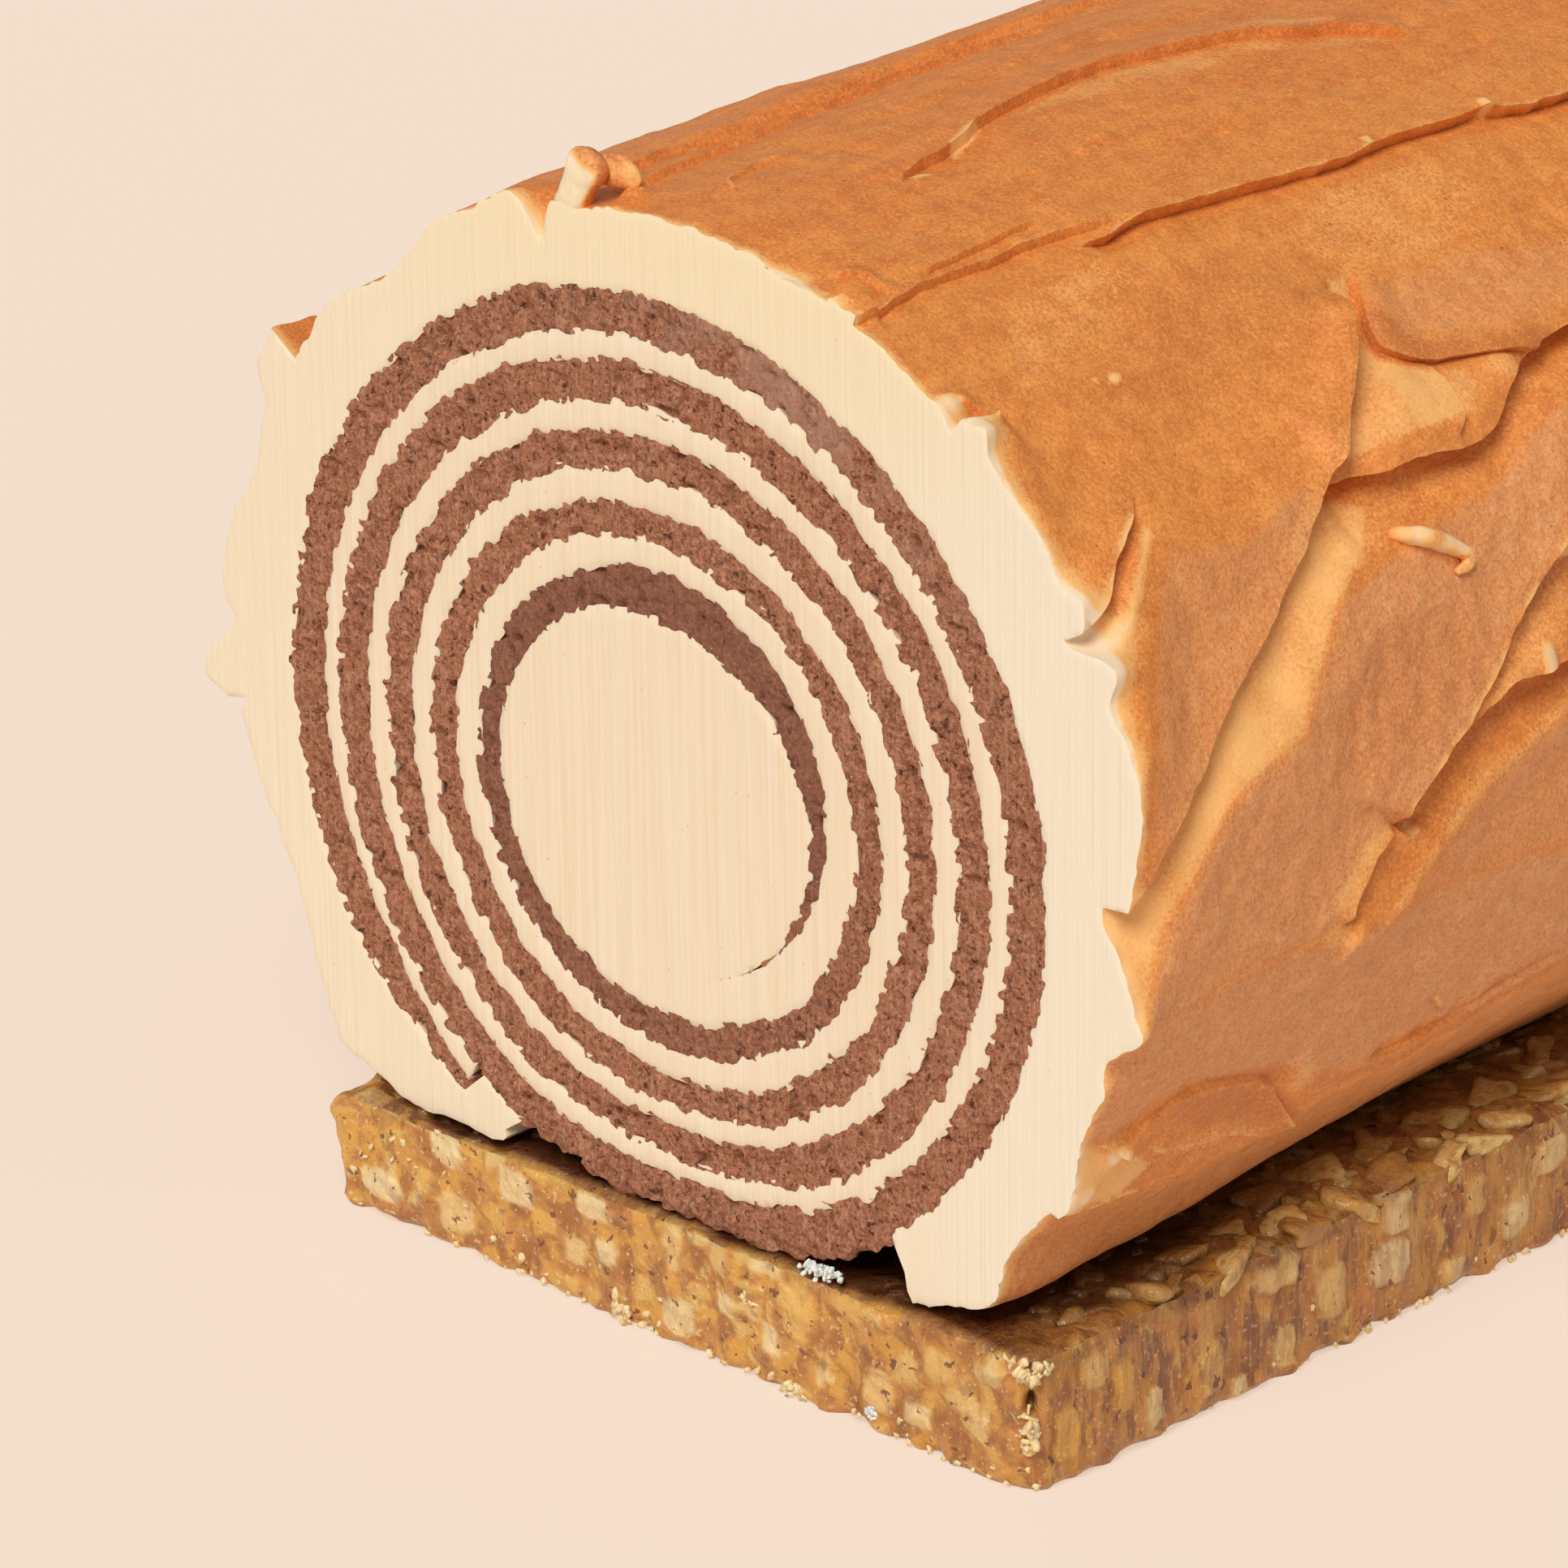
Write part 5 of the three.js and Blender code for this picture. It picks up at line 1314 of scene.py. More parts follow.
def round_corner(x, y):
    """Rounds the slab's corners in plan."""
    corner_x, corner_y = slab_corner(x, y)
    past_x, past_y = np.abs(x) - corner_x, np.abs(y) - corner_y
    at_corner = (past_x > 0) & (past_y > 0)
    reach = np.maximum(np.hypot(past_x, past_y), 1e-9)
    scale = np.where(at_corner, np.maximum(past_x, past_y) / reach, 1)
    new_x = np.where(at_corner, np.sign(x) * (corner_x + past_x * scale), x)
    new_y = np.where(at_corner, np.sign(y) * (corner_y + past_y * scale), y)
    return new_x, new_y


def slab_outward(x, y):
    """Outward direction in plan on the slab's sides."""
    corner_x, corner_y = slab_corner(x, y)
    past = np.stack([np.maximum(np.abs(x) - corner_x, 0), np.maximum(np.abs(y) - corner_y, 0)], axis=-1)
    past /= np.maximum(np.linalg.norm(past, axis=-1, keepdims=True), 1e-9)
    return past * np.stack([np.sign(x), np.sign(y)], axis=-1)


def painted_shade_near_log(points):
    """How much painted shade darkens the slab's top: most next to the log, and less towards the back."""
    x, y, z = points.T
    from_cake = np.maximum(np.maximum(x - CAKE_RIGHT, CAKE_LEFT - x), 9 * (np.abs(y) - LOG_LENGTH / 2 + 1.5))
    from_cake += layered_noise(points, (2.2, 3.2, 331), (1.2, 1.3, 332))
    # less painted shade farther back, where more light falls on the top
    less_farther_back = 1 - 0.4 * smooth(y, -90, -66)
    near_top = smooth(z, slab_top(x) - SHADE_DEPTH, slab_top(x) - FULL_SHADE_DEPTH)
    return less_farther_back * (1 - smooth(from_cake, *SHADE_REACH)) * near_top


HOLE_X, HOLE_Y, HOLE_Z = 42.7, -110.4, 8.2  # the small hole in the slab's front corner
HOLE_RADIUS, HOLE_HALF_HEIGHT, HOLE_DEPTH = 0.62, 0.95, 2.0
CHUNK_RELIEF = 0.1  # how far the nibs below stand out of the cuts
SIDE_CHUNK_RELIEF = 0.25  # and how much farther those on the right side do

# Nibs and bits of peel that the cuts laid open: the place along the face, height, half width, half
# height and paleness, 0 for golden peel, 1 for a nib and less than 0 for brown peel
FRONT_CHUNKS = [
    (-34, 3.4, 2.7, 1.3, 1), (-25.5, 9.3, 1.9, 1.5, 1), (-24.5, 3.5, 2.1, 1.8, 0.6),
    (-17.1, 8.4, 2, 1.7, 1), (-7.5, 9.7, 2, 1.1, 1), (-9.8, 4.9, 1.3, 1.4, 0.6), (-6, 6, 1.4, 1.2, 1),
    (-38.6, 7.5, 2.2, 2.3, 0.1), (-39, 3.9, 1.6, 1.5, 0.2), (-14.3, 11.2, 2.4, 1.2, 0.1),
    (-30.8, 11.2, 3, 1, 0), (2.7, 3, 1.9, 1.7, 0.9), (13.5, 4.6, 1.3, 1.6, 0.9), (16.9, 8.1, 2, 2.5, 0.3),
    (19.5, 3.1, 0.8, 0.9, 1), (7.5, 10.4, 1.4, 1.9, 0.5), (13.1, 10.9, 2, 0.9, 0.7),
    (2.2, 9.1, 1.2, 2, 0.5), (26.2, 4.4, 1.4, 2, 0.5), (-13.6, 6.4, 1.6, 1, 0.2), (33, 8.6, 1.8, 1.4, 0.4),
    (30.6, 3.2, 1.5, 1.2, 0.8), (37.4, 5, 1.6, 1.9, 0.5), (38.6, 9.8, 1.8, 1, 0.7),
    (22.6, 10.6, 1.8, 1.1, 0.3), (-19.8, 4.4, 1.7, 1.2, 0.2), (-28.6, 5.6, 1.3, 1.1, 0.3),
    (8.4, 6, 1.3, 1.1, 1),
]
SIDE_CHUNKS = [
    (-67.4, 6.1, 2.2, 2.1, 1), (-74.6, 5.8, 1.7, 2.4, 0.5), (-96.8, 3.4, 1, 1.7, 0.9),
    (-70.4, 3, 1.4, 1.7, -0.4), (-80.7, 2.9, 1.4, 1.9, 0.6), (-86.4, 1.2, 1, 1.2, 1),
    (-81.4, 9.9, 3, 1.4, 0.6), (-66.5, 10.3, 1.9, 1.8, 1), (-89.6, 4.6, 1.5, 2.3, 0.4),
    (-104, 9.2, 1.6, 1.6, 0.5), (-107, 4.4, 1.4, 2.4, 0.2), (-100.6, 6.6, 1.2, 2.4, 0.1),
    (-51, 4.6, 1.9, 1.8, 0.9), (-59, 2.2, 1.3, 1.4, 0.6), (-56.6, 8.6, 1.5, 2, 0.4),
    (-46, 8.8, 2.2, 1.6, 0.7),
]

# Large nibs that stand out of the top beside the log: x, y, half sizes, and how pale they are
TOP_CHUNKS = [
    (36.6, -53.5, 1.8, 2.2, 0.9), (40.9, -49.3, 1.4, 2.0, 0.9), (42.2, -53.4, 1.3, 2.3, 1.0),
    (36.2, -69.5, 1.8, 2.6, 0.8), (41.4, -65.0, 1.6, 2.3, 0.15), (36.2, -75.3, 1.4, 2.0, 0.2),
    (40.6, -78.1, 1.2, 1.8, 0.8), (42.1, -85.9, 1.4, 2.4, 1.0), (36.7, -46.7, 1.8, 2.2, 0.6),
    (39.7, -42.8, 1.3, 2.3, 0.5), (42.2, -58.2, 1.1, 1.6, 0.8), (38.9, -56.6, 1.6, 1.6, 0.7),
    (42.0, -76.8, 1.4, 2.2, 0.2), (38.6, -88.1, 1.5, 1.9, 0.3), (41.2, -93.9, 1.6, 2.2, 0.4),
    (42.0, -70.2, 1.5, 2.0, 0.35), (38.4, -62.0, 1.3, 1.8, 0.6), (38.2, -82.4, 1.4, 1.8, 0.35),
    (36.0, -61.5, 1.5, 2.1, 0.3), (35.2, -95.5, 1.2, 1.7, 0.3),
]
TOP_CHUNKS_END = -40  # the listed ones reach back to this y


def slab_chunks(points):
    """Where the nibs and bits of peel drawn above lie on the cut sides, and how pale they are."""
    x, y, z = points.T
    chunk, pale = np.zeros(len(points)), np.zeros(len(points))
    uneven_edge = layered_noise(points, (0.55, 1.7, 341), (0.3, 0.8, 342))
    cut_faces = ((FRONT_CHUNKS, x, y < 0.8 - SLAB_HALF_Y), (SIDE_CHUNKS, y, x > SLAB_RIGHT - 1.6))
    for listed, along, on_face in cut_faces:
        for place, height, half_width, half_height, paleness in listed:
            across, up = (along - place) / half_width, (z - height) / half_height
            share = on_face * smooth(-(np.abs(across) ** 3.4 + np.abs(up) ** 3.4) + uneven_edge, -1.3, -0.6)
            pale = np.where(share > chunk, paleness, pale)
            chunk = np.maximum(chunk, share)
    return chunk, pale


def slab_surface(px, py, edge):
    """The slab's lumpy top from its places in plan, rounded down towards its edge."""
    outward = slab_outward(px, py)
    inset = SLAB_EDGE_ROUNDING * np.clip(1 - edge / 3.0, 0, 1) ** 2
    x, y = px - outward[:, 0] * inset * 0.6, py - outward[:, 1] * inset * 0.6
    z = slab_top(x + SLAB_CENTRE_X) - inset * 0.75
    lumps = layered_noise(flat3(x, y), (0.35, 4.2, 301), (0.28, 2.1, 302), (0.14, 1.0, 303))
    corner_lump = np.exp(-(((x + SLAB_HALF_X - 0.6) / 1.9) ** 2) - ((y + SLAB_HALF_Y - 6) / 4.2) ** 2)
    z = z + np.minimum(lumps, LUMP_LIMIT) - LUMP_LIMIT + (2.4 + lumps) * corner_lump
    return np.stack([x + SLAB_CENTRE_X, y, z], axis=-1)


def slab_side(px, py, around, share):
    """One line round the slab's sides at a share of its height, and how deep in the hole it lies.
    `around` is the distance along the line."""
    height = slab_top(px + SLAB_CENTRE_X) * share
    rim = SLAB_EDGE_ROUNDING * smooth(share, 0.86, 1.05) ** 2
    foot = 0.7 * (1 - smooth(share, 0, 0.07))
    where = flat3(px + 50, py, height)
    drag = 0.18 * noise(flat3(around / 1.3, height / 12), 1, 311) * (0.6 + 1.0 * (px > 0))
    drag += 0.16 * noise(flat3(around / 2.8, height / 20), 1, 312)
    lumps = layered_noise(where, (0.3, 3.6, 313), (0.2, 1.7, 314), (0.06, 0.8, 315))
    ragged_foot = 0.6 * noise(where, 2.0, 316) * (1 - smooth(share, 0.02, 0.16))
    hole = ((px + SLAB_CENTRE_X - HOLE_X) ** 2 + (py - HOLE_Y) ** 2) / HOLE_RADIUS**2
    hole = HOLE_DEPTH * np.exp(-(hole + ((height - HOLE_Z) / HOLE_HALF_HEIGHT) ** 2) ** 1.5)
    corner = np.exp(-(((px + SLAB_HALF_X) / 2.2) ** 2) - ((py + SLAB_HALF_Y) / 2.2) ** 2)
    corner *= 1.0 + 1.2 * noise(where, 2.4, 317)
    shown, _ = slab_chunks(np.stack([px + SLAB_CENTRE_X, py, height], axis=-1))
    shown *= CHUNK_RELIEF + SIDE_CHUNK_RELIEF * (px > SLAB_HALF_X - 2)
    out = drag + lumps + ragged_foot + shown - rim * 0.5 - foot - 0.35 - hole + corner
    outward = slab_outward(px, py)
    x, y = px + SLAB_CENTRE_X + outward[:, 0] * out, py + outward[:, 1] * out
    return np.stack([x, y, height], axis=-1), hole


def build_slab():
    hx, hy = SLAB_HALF_X, SLAB_HALF_Y
    xs = spaced([(-hx, SLAB_FINE), (-hx + 3, SLAB_STEP), (-hx + 18, SLAB_COARSE), (hx - 18, SLAB_STEP),
                 (hx - 6, SLAB_FINE), (hx, 0)])
    ys = spaced([(-hy, SLAB_FINE), (-hy + 6, SLAB_STEP), (hy, 0)])
    nx, ny = len(xs), len(ys)
    gx, gy = (grid.ravel() for grid in np.meshgrid(xs, ys, indexing="ij"))
    top_index = np.arange(nx * ny).reshape(nx, ny)
    loop = np.concatenate([top_index[:, 0], top_index[-1, 1:], top_index[-2::-1, -1], top_index[0, -2:0:-1]])
    px, py = round_corner(gx, gy)
    top = slab_surface(px, py, np.minimum(hx - np.abs(gx), hy - np.abs(gy)))

    # The sides, from just under the rim to the underside
    vertices, rings, holes = [top], [loop], [np.zeros(len(top))]
    side_x, side_y = px[loop], py[loop]
    around = np.concatenate([[0], np.cumsum(np.hypot(np.diff(side_x), np.diff(side_y)))])
    count = len(top)
    for level in range(1, SLAB_LEVELS + 1):
        ring, hole = slab_side(side_x, side_y, around, 1 - level / SLAB_LEVELS)
        rings.append(count + np.arange(len(loop)))
        vertices.append(ring)
        holes.append(hole)
        count += len(loop)
    closed = np.array([np.append(r, r[0]) for r in rings])
    fan = np.stack([closed[-1][:-1], closed[-1][1:], np.full(len(loop), count)], axis=-1)
    faces = [grid_quads(top_index, flip=True), grid_quads(closed, flip=True), fan[:, ::-1]]
    vertices = np.vstack([*vertices, [(SLAB_CENTRE_X, 0, 0)]])

    x, y, z = vertices.T
    on_side = smooth(np.abs(x - SLAB_CENTRE_X), hx - 2.0, hx - 1.0) * smooth(hy - np.abs(y), 0.6, 2.0)
    in_hole = smooth(np.concatenate([*holes, [0]]), 0.2, 1.2)
    chunk, pale = slab_chunks(vertices)
    # painted shade: the top darkened next to the log, and the small hole darkened inside
    attributes = {"painted_shade": np.maximum(painted_shade_near_log(vertices), 0.4 * in_hole), "chunk": chunk, "pale": pale,
                  # dragged also marks where the long sides get painted shade
                  "dragged": 0.5 * on_side * smooth(slab_top(x) - z, 0.4, 1.6)}
    make_piece("nut_paste", vertices, faces, paste_material(), attributes,
               sharp=70, replaced="nut_base")


def lump_template(parts=3, boxiness=3.0):
    """A rounded box of half size 1, as points and quads."""
    step = np.linspace(-1, 1, parts + 1)
    a, b = np.meshgrid(step, step, indexing="ij")
    one = np.ones_like(a)
    sides = [(one, a, b), (-one, b, a), (b, one, a), (a, -one, b), (a, b, one), (b, a, -one)]
    vertices = np.vstack([np.stack(side, axis=-1).reshape(-1, 3) for side in sides])
    size = (parts + 1) ** 2
    quads = np.vstack([grid_quads(np.arange(size).reshape(parts + 1, -1) + i * size) for i in range(6)])
    unique, index = np.unique(vertices.round(6), axis=0, return_inverse=True)
    length = (np.abs(unique) ** boxiness).sum(1) ** (1 / boxiness)
    return unique / length[:, None], index.ravel()[quads]


def turned(draw, count):
    """Random rotations."""
    q = draw.normal(size=(count, 4))
    q /= np.linalg.norm(q, axis=1, keepdims=True)
    w, x, y, z = q.T
    return np.stack([
        1 - 2 * (y * y + z * z), 2 * (x * y - w * z), 2 * (x * z + w * y),
        2 * (x * y + w * z), 1 - 2 * (x * x + z * z), 2 * (y * z - w * x),
        2 * (x * z - w * y), 2 * (y * z + w * x), 1 - 2 * (x * x + y * y),
    ], axis=-1).reshape(-1, 3, 3)


def scatter(centres, sizes, rotations, seed, parts=3, roughness=0.16, boxiness=3.0):
    """Lumps at the centres, each uneven in its own way: points by lump, and quads."""
    template, quads = lump_template(parts, boxiness)
    count = len(centres)
    offsets = np.random.default_rng(seed).uniform(0, 90, (count, 1, 3))
    rough = noise(template[None] * 0.9 + offsets, 1, seed + 1)[..., None]
    local = template[None] * (1 + roughness * rough) * sizes[:, None]
    points = np.einsum("kij,kpj->kpi", rotations, local) + centres[:, None]
    faces = (quads[None] + np.arange(count)[:, None, None] * len(template)).reshape(-1, 4)
    return points, faces


def slab_spots(draw, count, top_share):
    """Random places on the slab, with the direction outwards: this share of them on its top beside
    the log, and the others on its sides."""
    spots, outward = [], []
    half_x, half_y = SLAB_HALF_X, SLAB_HALF_Y
    while len(spots) < count:
        if draw.uniform() < top_share:
            x = draw.uniform(-half_x, half_x)
            y = draw.uniform(-half_y, half_y)
            right, left = x > NIBS_RIGHT - SLAB_CENTRE_X, x < NIBS_LEFT - SLAB_CENTRE_X
            if not (right or left) or abs(y) > half_y - 2.6 or abs(x) > half_x - 2.4:
                continue
            if x > half_x - SLAB_CORNER_RADIUS and abs(y) > half_y - SLAB_CORNER_RADIUS:
                continue
            spots.append((x + SLAB_CENTRE_X, y, slab_top(x + SLAB_CENTRE_X) - 0.3))
            outward.append((0, 0, 1))
            continue
        along = draw.uniform(0, 4 * (half_x + half_y))
        sides = ((0, -1, 2 * half_x), (1, 0, 2 * half_y), (0, 1, 2 * half_x), (-1, 0, 2 * half_y))
        for side_x, side_y, length in sides:
            if along < length:
                break
            along -= length
        x = side_x * half_x + (along - half_x if side_y else 0)
        y = side_y * half_y + (along - half_y if side_x else 0)
        x, y = (float(v) for v in round_corner(np.array(x), np.array(y)))
        out = slab_outward(np.array(x), np.array(y))
        height = draw.uniform(0.7, slab_top(x + SLAB_CENTRE_X) - 0.5)
        spots.append((x + SLAB_CENTRE_X - 0.35 * out[0], y - 0.35 * out[1], height))
        outward.append((out[0], out[1], 0))
    return np.array(spots), np.array(outward)


def build_nuts():
    """Small almond nibs, bits of peel and skins in the slab's top, cut off level just above it."""
    kinds = [
        # name, count, lowest and highest half sizes, share of its thickness that sinks in, material, facets
        ("almond_nibs", 420, (0.8, 0.6, 0.5), (2.1, 1.3, 0.95), 0.75, nib_material(), 3),
        ("peel_bits", 90, (0.7, 0.5, 0.35), (1.9, 1.0, 0.7), 0.6, peel_material(), 3),
        ("nut_skins", 70, (0.4, 0.25, 0.08), (1.3, 0.6, 0.16), 0.3, skin_material(), 2),
    ]
    for number, (name, count, low, high, sunk, material, parts) in enumerate(kinds):
        draw = np.random.default_rng(400 + number)
        spots, _ = slab_spots(draw, count, 1.0)
        sizes = draw.uniform(low, high, (count, 3))
        centres = spots - np.outer(sizes.min(1) * sunk, (0, 0, 1))
        points, faces = scatter(centres, sizes, turned(draw, count), 410 + number, parts, 0.3, 5.0)
        above = points[..., 2] - spots[:, None, 2]
        points[..., 2] += np.minimum(above, NIB_LIMIT) - above
        tone = np.repeat(draw.uniform(0, 1, count), points.shape[1])
        points = points.reshape(-1, 3)
        # the nibs get the slab top's painted shade next to the log
        make_piece(name, points, [faces], material, {"tone": tone, "painted_shade": painted_shade_near_log(points)})


def build_top_chunks():
    """Large nibs in the slab's top: the ones that are listed, and others farther along both sides."""
    draw = np.random.default_rng(425)
    placed = np.array(TOP_CHUNKS)
    spots, _ = slab_spots(draw, 190, 1.0)
    spots = spots[(spots[:, 0] < 0) | (spots[:, 1] > TOP_CHUNKS_END)]
    count = len(placed) + len(spots)
    x = np.append(placed[:, 0], spots[:, 0])
    y = np.append(placed[:, 1], spots[:, 1])
    half_x = np.append(placed[:, 2], draw.uniform(1.0, 1.8, len(spots)))
    half_y = np.append(placed[:, 3], draw.uniform(1.3, 2.4, len(spots)))
    tone = np.append(placed[:, 4], draw.uniform(0.1, 1, len(spots)))
    half_z = draw.uniform(0.8, 1.15, count)
    angle = draw.uniform(-0.7, 0.7, count)
    lean = draw.uniform(-0.35, 0.35, (count, 2))
    cosine, sine, zero = np.cos(angle), np.sin(angle), np.zeros(count)
    rotations = np.stack([cosine, -sine, zero, sine, cosine, zero, lean[:, 0], lean[:, 1], zero + 1], axis=-1)
    centres = np.stack([x, y, slab_top(x) - draw.uniform(0.5, 0.85, count)], axis=-1)
    sizes = np.stack([half_x, half_y, half_z], axis=-1)
    points, faces = scatter(centres, sizes, rotations.reshape(-1, 3, 3), 426, 5, 0.5, 7.0)
    tone = np.repeat(tone, points.shape[1])
    points = points.reshape(-1, 3)
    points[:, 0] = np.clip(points[:, 0], SLAB_LEFT + 0.3, SLAB_RIGHT - 0.2)
    # the large nibs get the slab top's painted shade next to the log
    make_piece("almond_chunks", points, [faces], nib_material(),
               {"tone": tone, "painted_shade": painted_shade_near_log(points)})


def build_crumbs():
    """Loose crumbs: pale ones along the slab's foot and corner, and specks of sugar."""
    draw = np.random.default_rng(440)
    clusters = [
        # centre, spread, count, size
        ((42.3, -110.6, 5.6), (0.45, 0.25, 1.0), 24, 0.44),
        ((41.4, -110.9, 11.3), (0.9, 0.2, 0.3), 18, 0.44),
        ((43.1, -109.6, 11.3), (0.2, 0.7, 0.3), 9, 0.4),
        ((-4.1, -111.5, 1.0), (0.5, 0.2, 0.6), 12, 0.5),
        ((16.3, -111.5, 0.9), (0.9, 0.2, 0.4), 12, 0.45),
        ((10.8, -111.3, 7.2), (1.3, 0.1, 0.5), 9, 0.26),
        ((-31.0, -111.3, 7.0), (5.0, 0.1, 2.0), 16, 0.28),
    ]
    spots, sizes = [], []
    for centre, spread, count, size in clusters:
        spots.append(draw.normal(centre, spread, (count, 3)))
        sizes.append(size * draw.uniform((0.8, 0.6, 0.3), (1.5, 1.1, 0.6), (count, 3)))
    foot, outward = slab_spots(draw, 330, 0)
    foot[:, 2] = draw.exponential(0.7, len(foot)) + 0.1
    spots.append(foot - outward * 0.15)
    sizes.append(draw.uniform(0.12, 0.38, (len(foot), 3)))
    spots, sizes = np.vstack(spots), np.vstack(sizes)
    low, high = np.array([SLAB_LEFT, -SLAB_HALF_Y, 0.3]), np.array([SLAB_RIGHT, SLAB_HALF_Y, 12.4])
    spots = np.clip(spots, low + CRUMB_INSET, high - CRUMB_INSET)
    points, faces = scatter(spots, sizes, turned(draw, len(spots)), 450, 2, 0.6, 6.0)
    points[..., 2] = np.maximum(points[..., 2], 0.02)
    make_piece("nut_crumbs", points.reshape(-1, 3), [faces], crumb_material())

    sugar = np.vstack([draw.normal((18.6, -110.3, 12.2), (1.0, 0.3, 0.2), (56, 3)),
                       draw.normal((25.4, -111.3, 2.0), (0.3, 0.1, 0.5), (26, 3))])
    sizes = draw.uniform(0.1, 0.3, (len(sugar), 3))
    points, faces = scatter(sugar, sizes, turned(draw, len(sugar)), 455, 2, 0.3, 6)
    make_piece("sugar_specks", points.reshape(-1, 3), [faces], sugar_material())


# ---- Materials ----


def caramel_color(m, grain, mottle, bubbles, tan, dark, deep):
    """The spray where it is thick: caramel, more orange on top and greyish tan on the flat strokes, which is
    partly a painted sheen.
    """
    light = m.ramp(mottle, 0.35, 0.66)
    streak = m.ramp(m.noise(1.8, 3, where=m.stretch(0.8, 0.14, 0.8)), 0.38, 0.64)
    middle = m.mix(light, (0.69, 0.210, 0.038), (0.81, 0.280, 0.054))
    orange = m.mix(light, (0.68, 0.188, 0.034), (0.80, 0.244, 0.045))
    color = m.mix(deep, middle, orange)
    color = m.tint(color, streak, 0.22, (0.86, 0.355, 0.085))
    # tan: the flat strokes' greyish tone, partly a painted sheen
    color = m.tint(color, tan, 0.82, (0.71, 0.300, 0.115))
    color = m.tint(color, m.times(m.ramp(bubbles, 0.50, 0.64), tan), 0.4, (0.82, 0.385, 0.165))
    # dark: thick spray, and painted shadow under the second fin and along the edge above the shell
    color = m.tint(color, dark, 0.8, (0.52, 0.150, 0.034))
    color = m.tint(color, m.ramp(grain, 0.50, 0.66), 0.5, (0.46, 0.122, 0.026))
    color = m.tint(color, m.ramp(grain, 0.49, 0.34), 0.42, (0.94, 0.48, 0.165))
    return m.tint(color, m.specks(2.6, 0.055, 0.03), 0.75, (0.30, 0.055, 0.022))


def bare_cream_color(m, cut):
    """The cream under the spray: pale where it was cut, whiter on the right and yellower on top."""
    color = m.mix(m.lines(0.7, 2, 0.03), (0.845, 0.70, 0.495), (0.885, 0.765, 0.575))
    x, _, z = m.place()
    color = m.tint(color, m.ramp(x, 18, 44), 0.8, (0.865, 0.765, 0.600))
    color = m.tint(color, m.ramp(z, 80, 99), 0.8, (0.880, 0.725, 0.475))
    color = m.tint(color, m.specks(2.9, 0.05, 0.025), 0.5, (0.74, 0.42, 0.16))
    return m.tint(color, m.inverse(cut), 0.4, (0.92, 0.62, 0.32))


def bark_material():
    m = Shader("browned_cream_knife_worked")
    brown, tan, dark, deep, cut = m.attributes("brown", "tan", "dark", "deep", "cut")
    grain, mottle, bubbles = m.noise(0.33, 3, 0.75), m.noise(2.2, 4, 0.6), m.noise(1.9, 1.5)
    caramel = caramel_color(m, grain, mottle, bubbles, tan, dark, deep)
    amount = m.math("MULTIPLY", brown, m.plus(m.times(grain, 0.8), 0.66), clamp=True)
    # the thin spray's pale colour, also used where light is painted
    pale_spray_and_light = m.mix(m.ramp(amount, 0.0, 0.5), bare_cream_color(m, cut), (0.93, 0.510, 0.175))
    color = m.mix(m.ramp(amount, 0.40, 0.94), pale_spray_and_light, caramel)
    height = m.plus(m.times(grain, 0.6), m.times(m.noise(0.2, 3, 0.6), 0.35))
    lumpy = m.bump(m.times(bubbles, m.plus(m.times(brown, 0.5), tan)), 0.3)
    sprayed = m.bump(m.times(height, brown), 0.16, normal=lumpy)
    normal = m.bump(m.times(m.lines(0.45, 3, 0.02), cut), 0.12, normal=sprayed)
    roughness = m.plus(0.48, m.times(m.ramp(mottle, 0.2, 1.4), 0.25))
    return m.finish(Base_Color=color, Roughness=roughness, Normal=normal, Subsurface_Weight=0.1,
                    Subsurface_Radius=(1.0, 0.45, 0.2), Subsurface_Scale=1.0 * MM,
                    Specular_IOR_Level=0.38)


def filling_material():
    m = Shader("pale_butter_cream")
    streak = m.ramp(m.lines(0.6, 3, 0.025), 0.3, 0.75)
    color = m.mix(streak, (0.840, 0.662, 0.455), (0.868, 0.738, 0.565))
    color = m.tint(color, m.noise(9, 2), 0.5, (0.858, 0.714, 0.527))
    color = m.tint(color, m.specks(2.4, 0.065, 0.03), 0.7, (0.80, 0.38, 0.12))
    normal = m.bump(m.lines(0.4, 3, 0.02), 0.1)
    return m.finish(Base_Color=color, Roughness=0.55, Normal=normal, Subsurface_Weight=0.15,
                    Subsurface_Radius=(1.0, 0.6, 0.3), Subsurface_Scale=1.5 * MM,
                    Specular_IOR_Level=0.35)


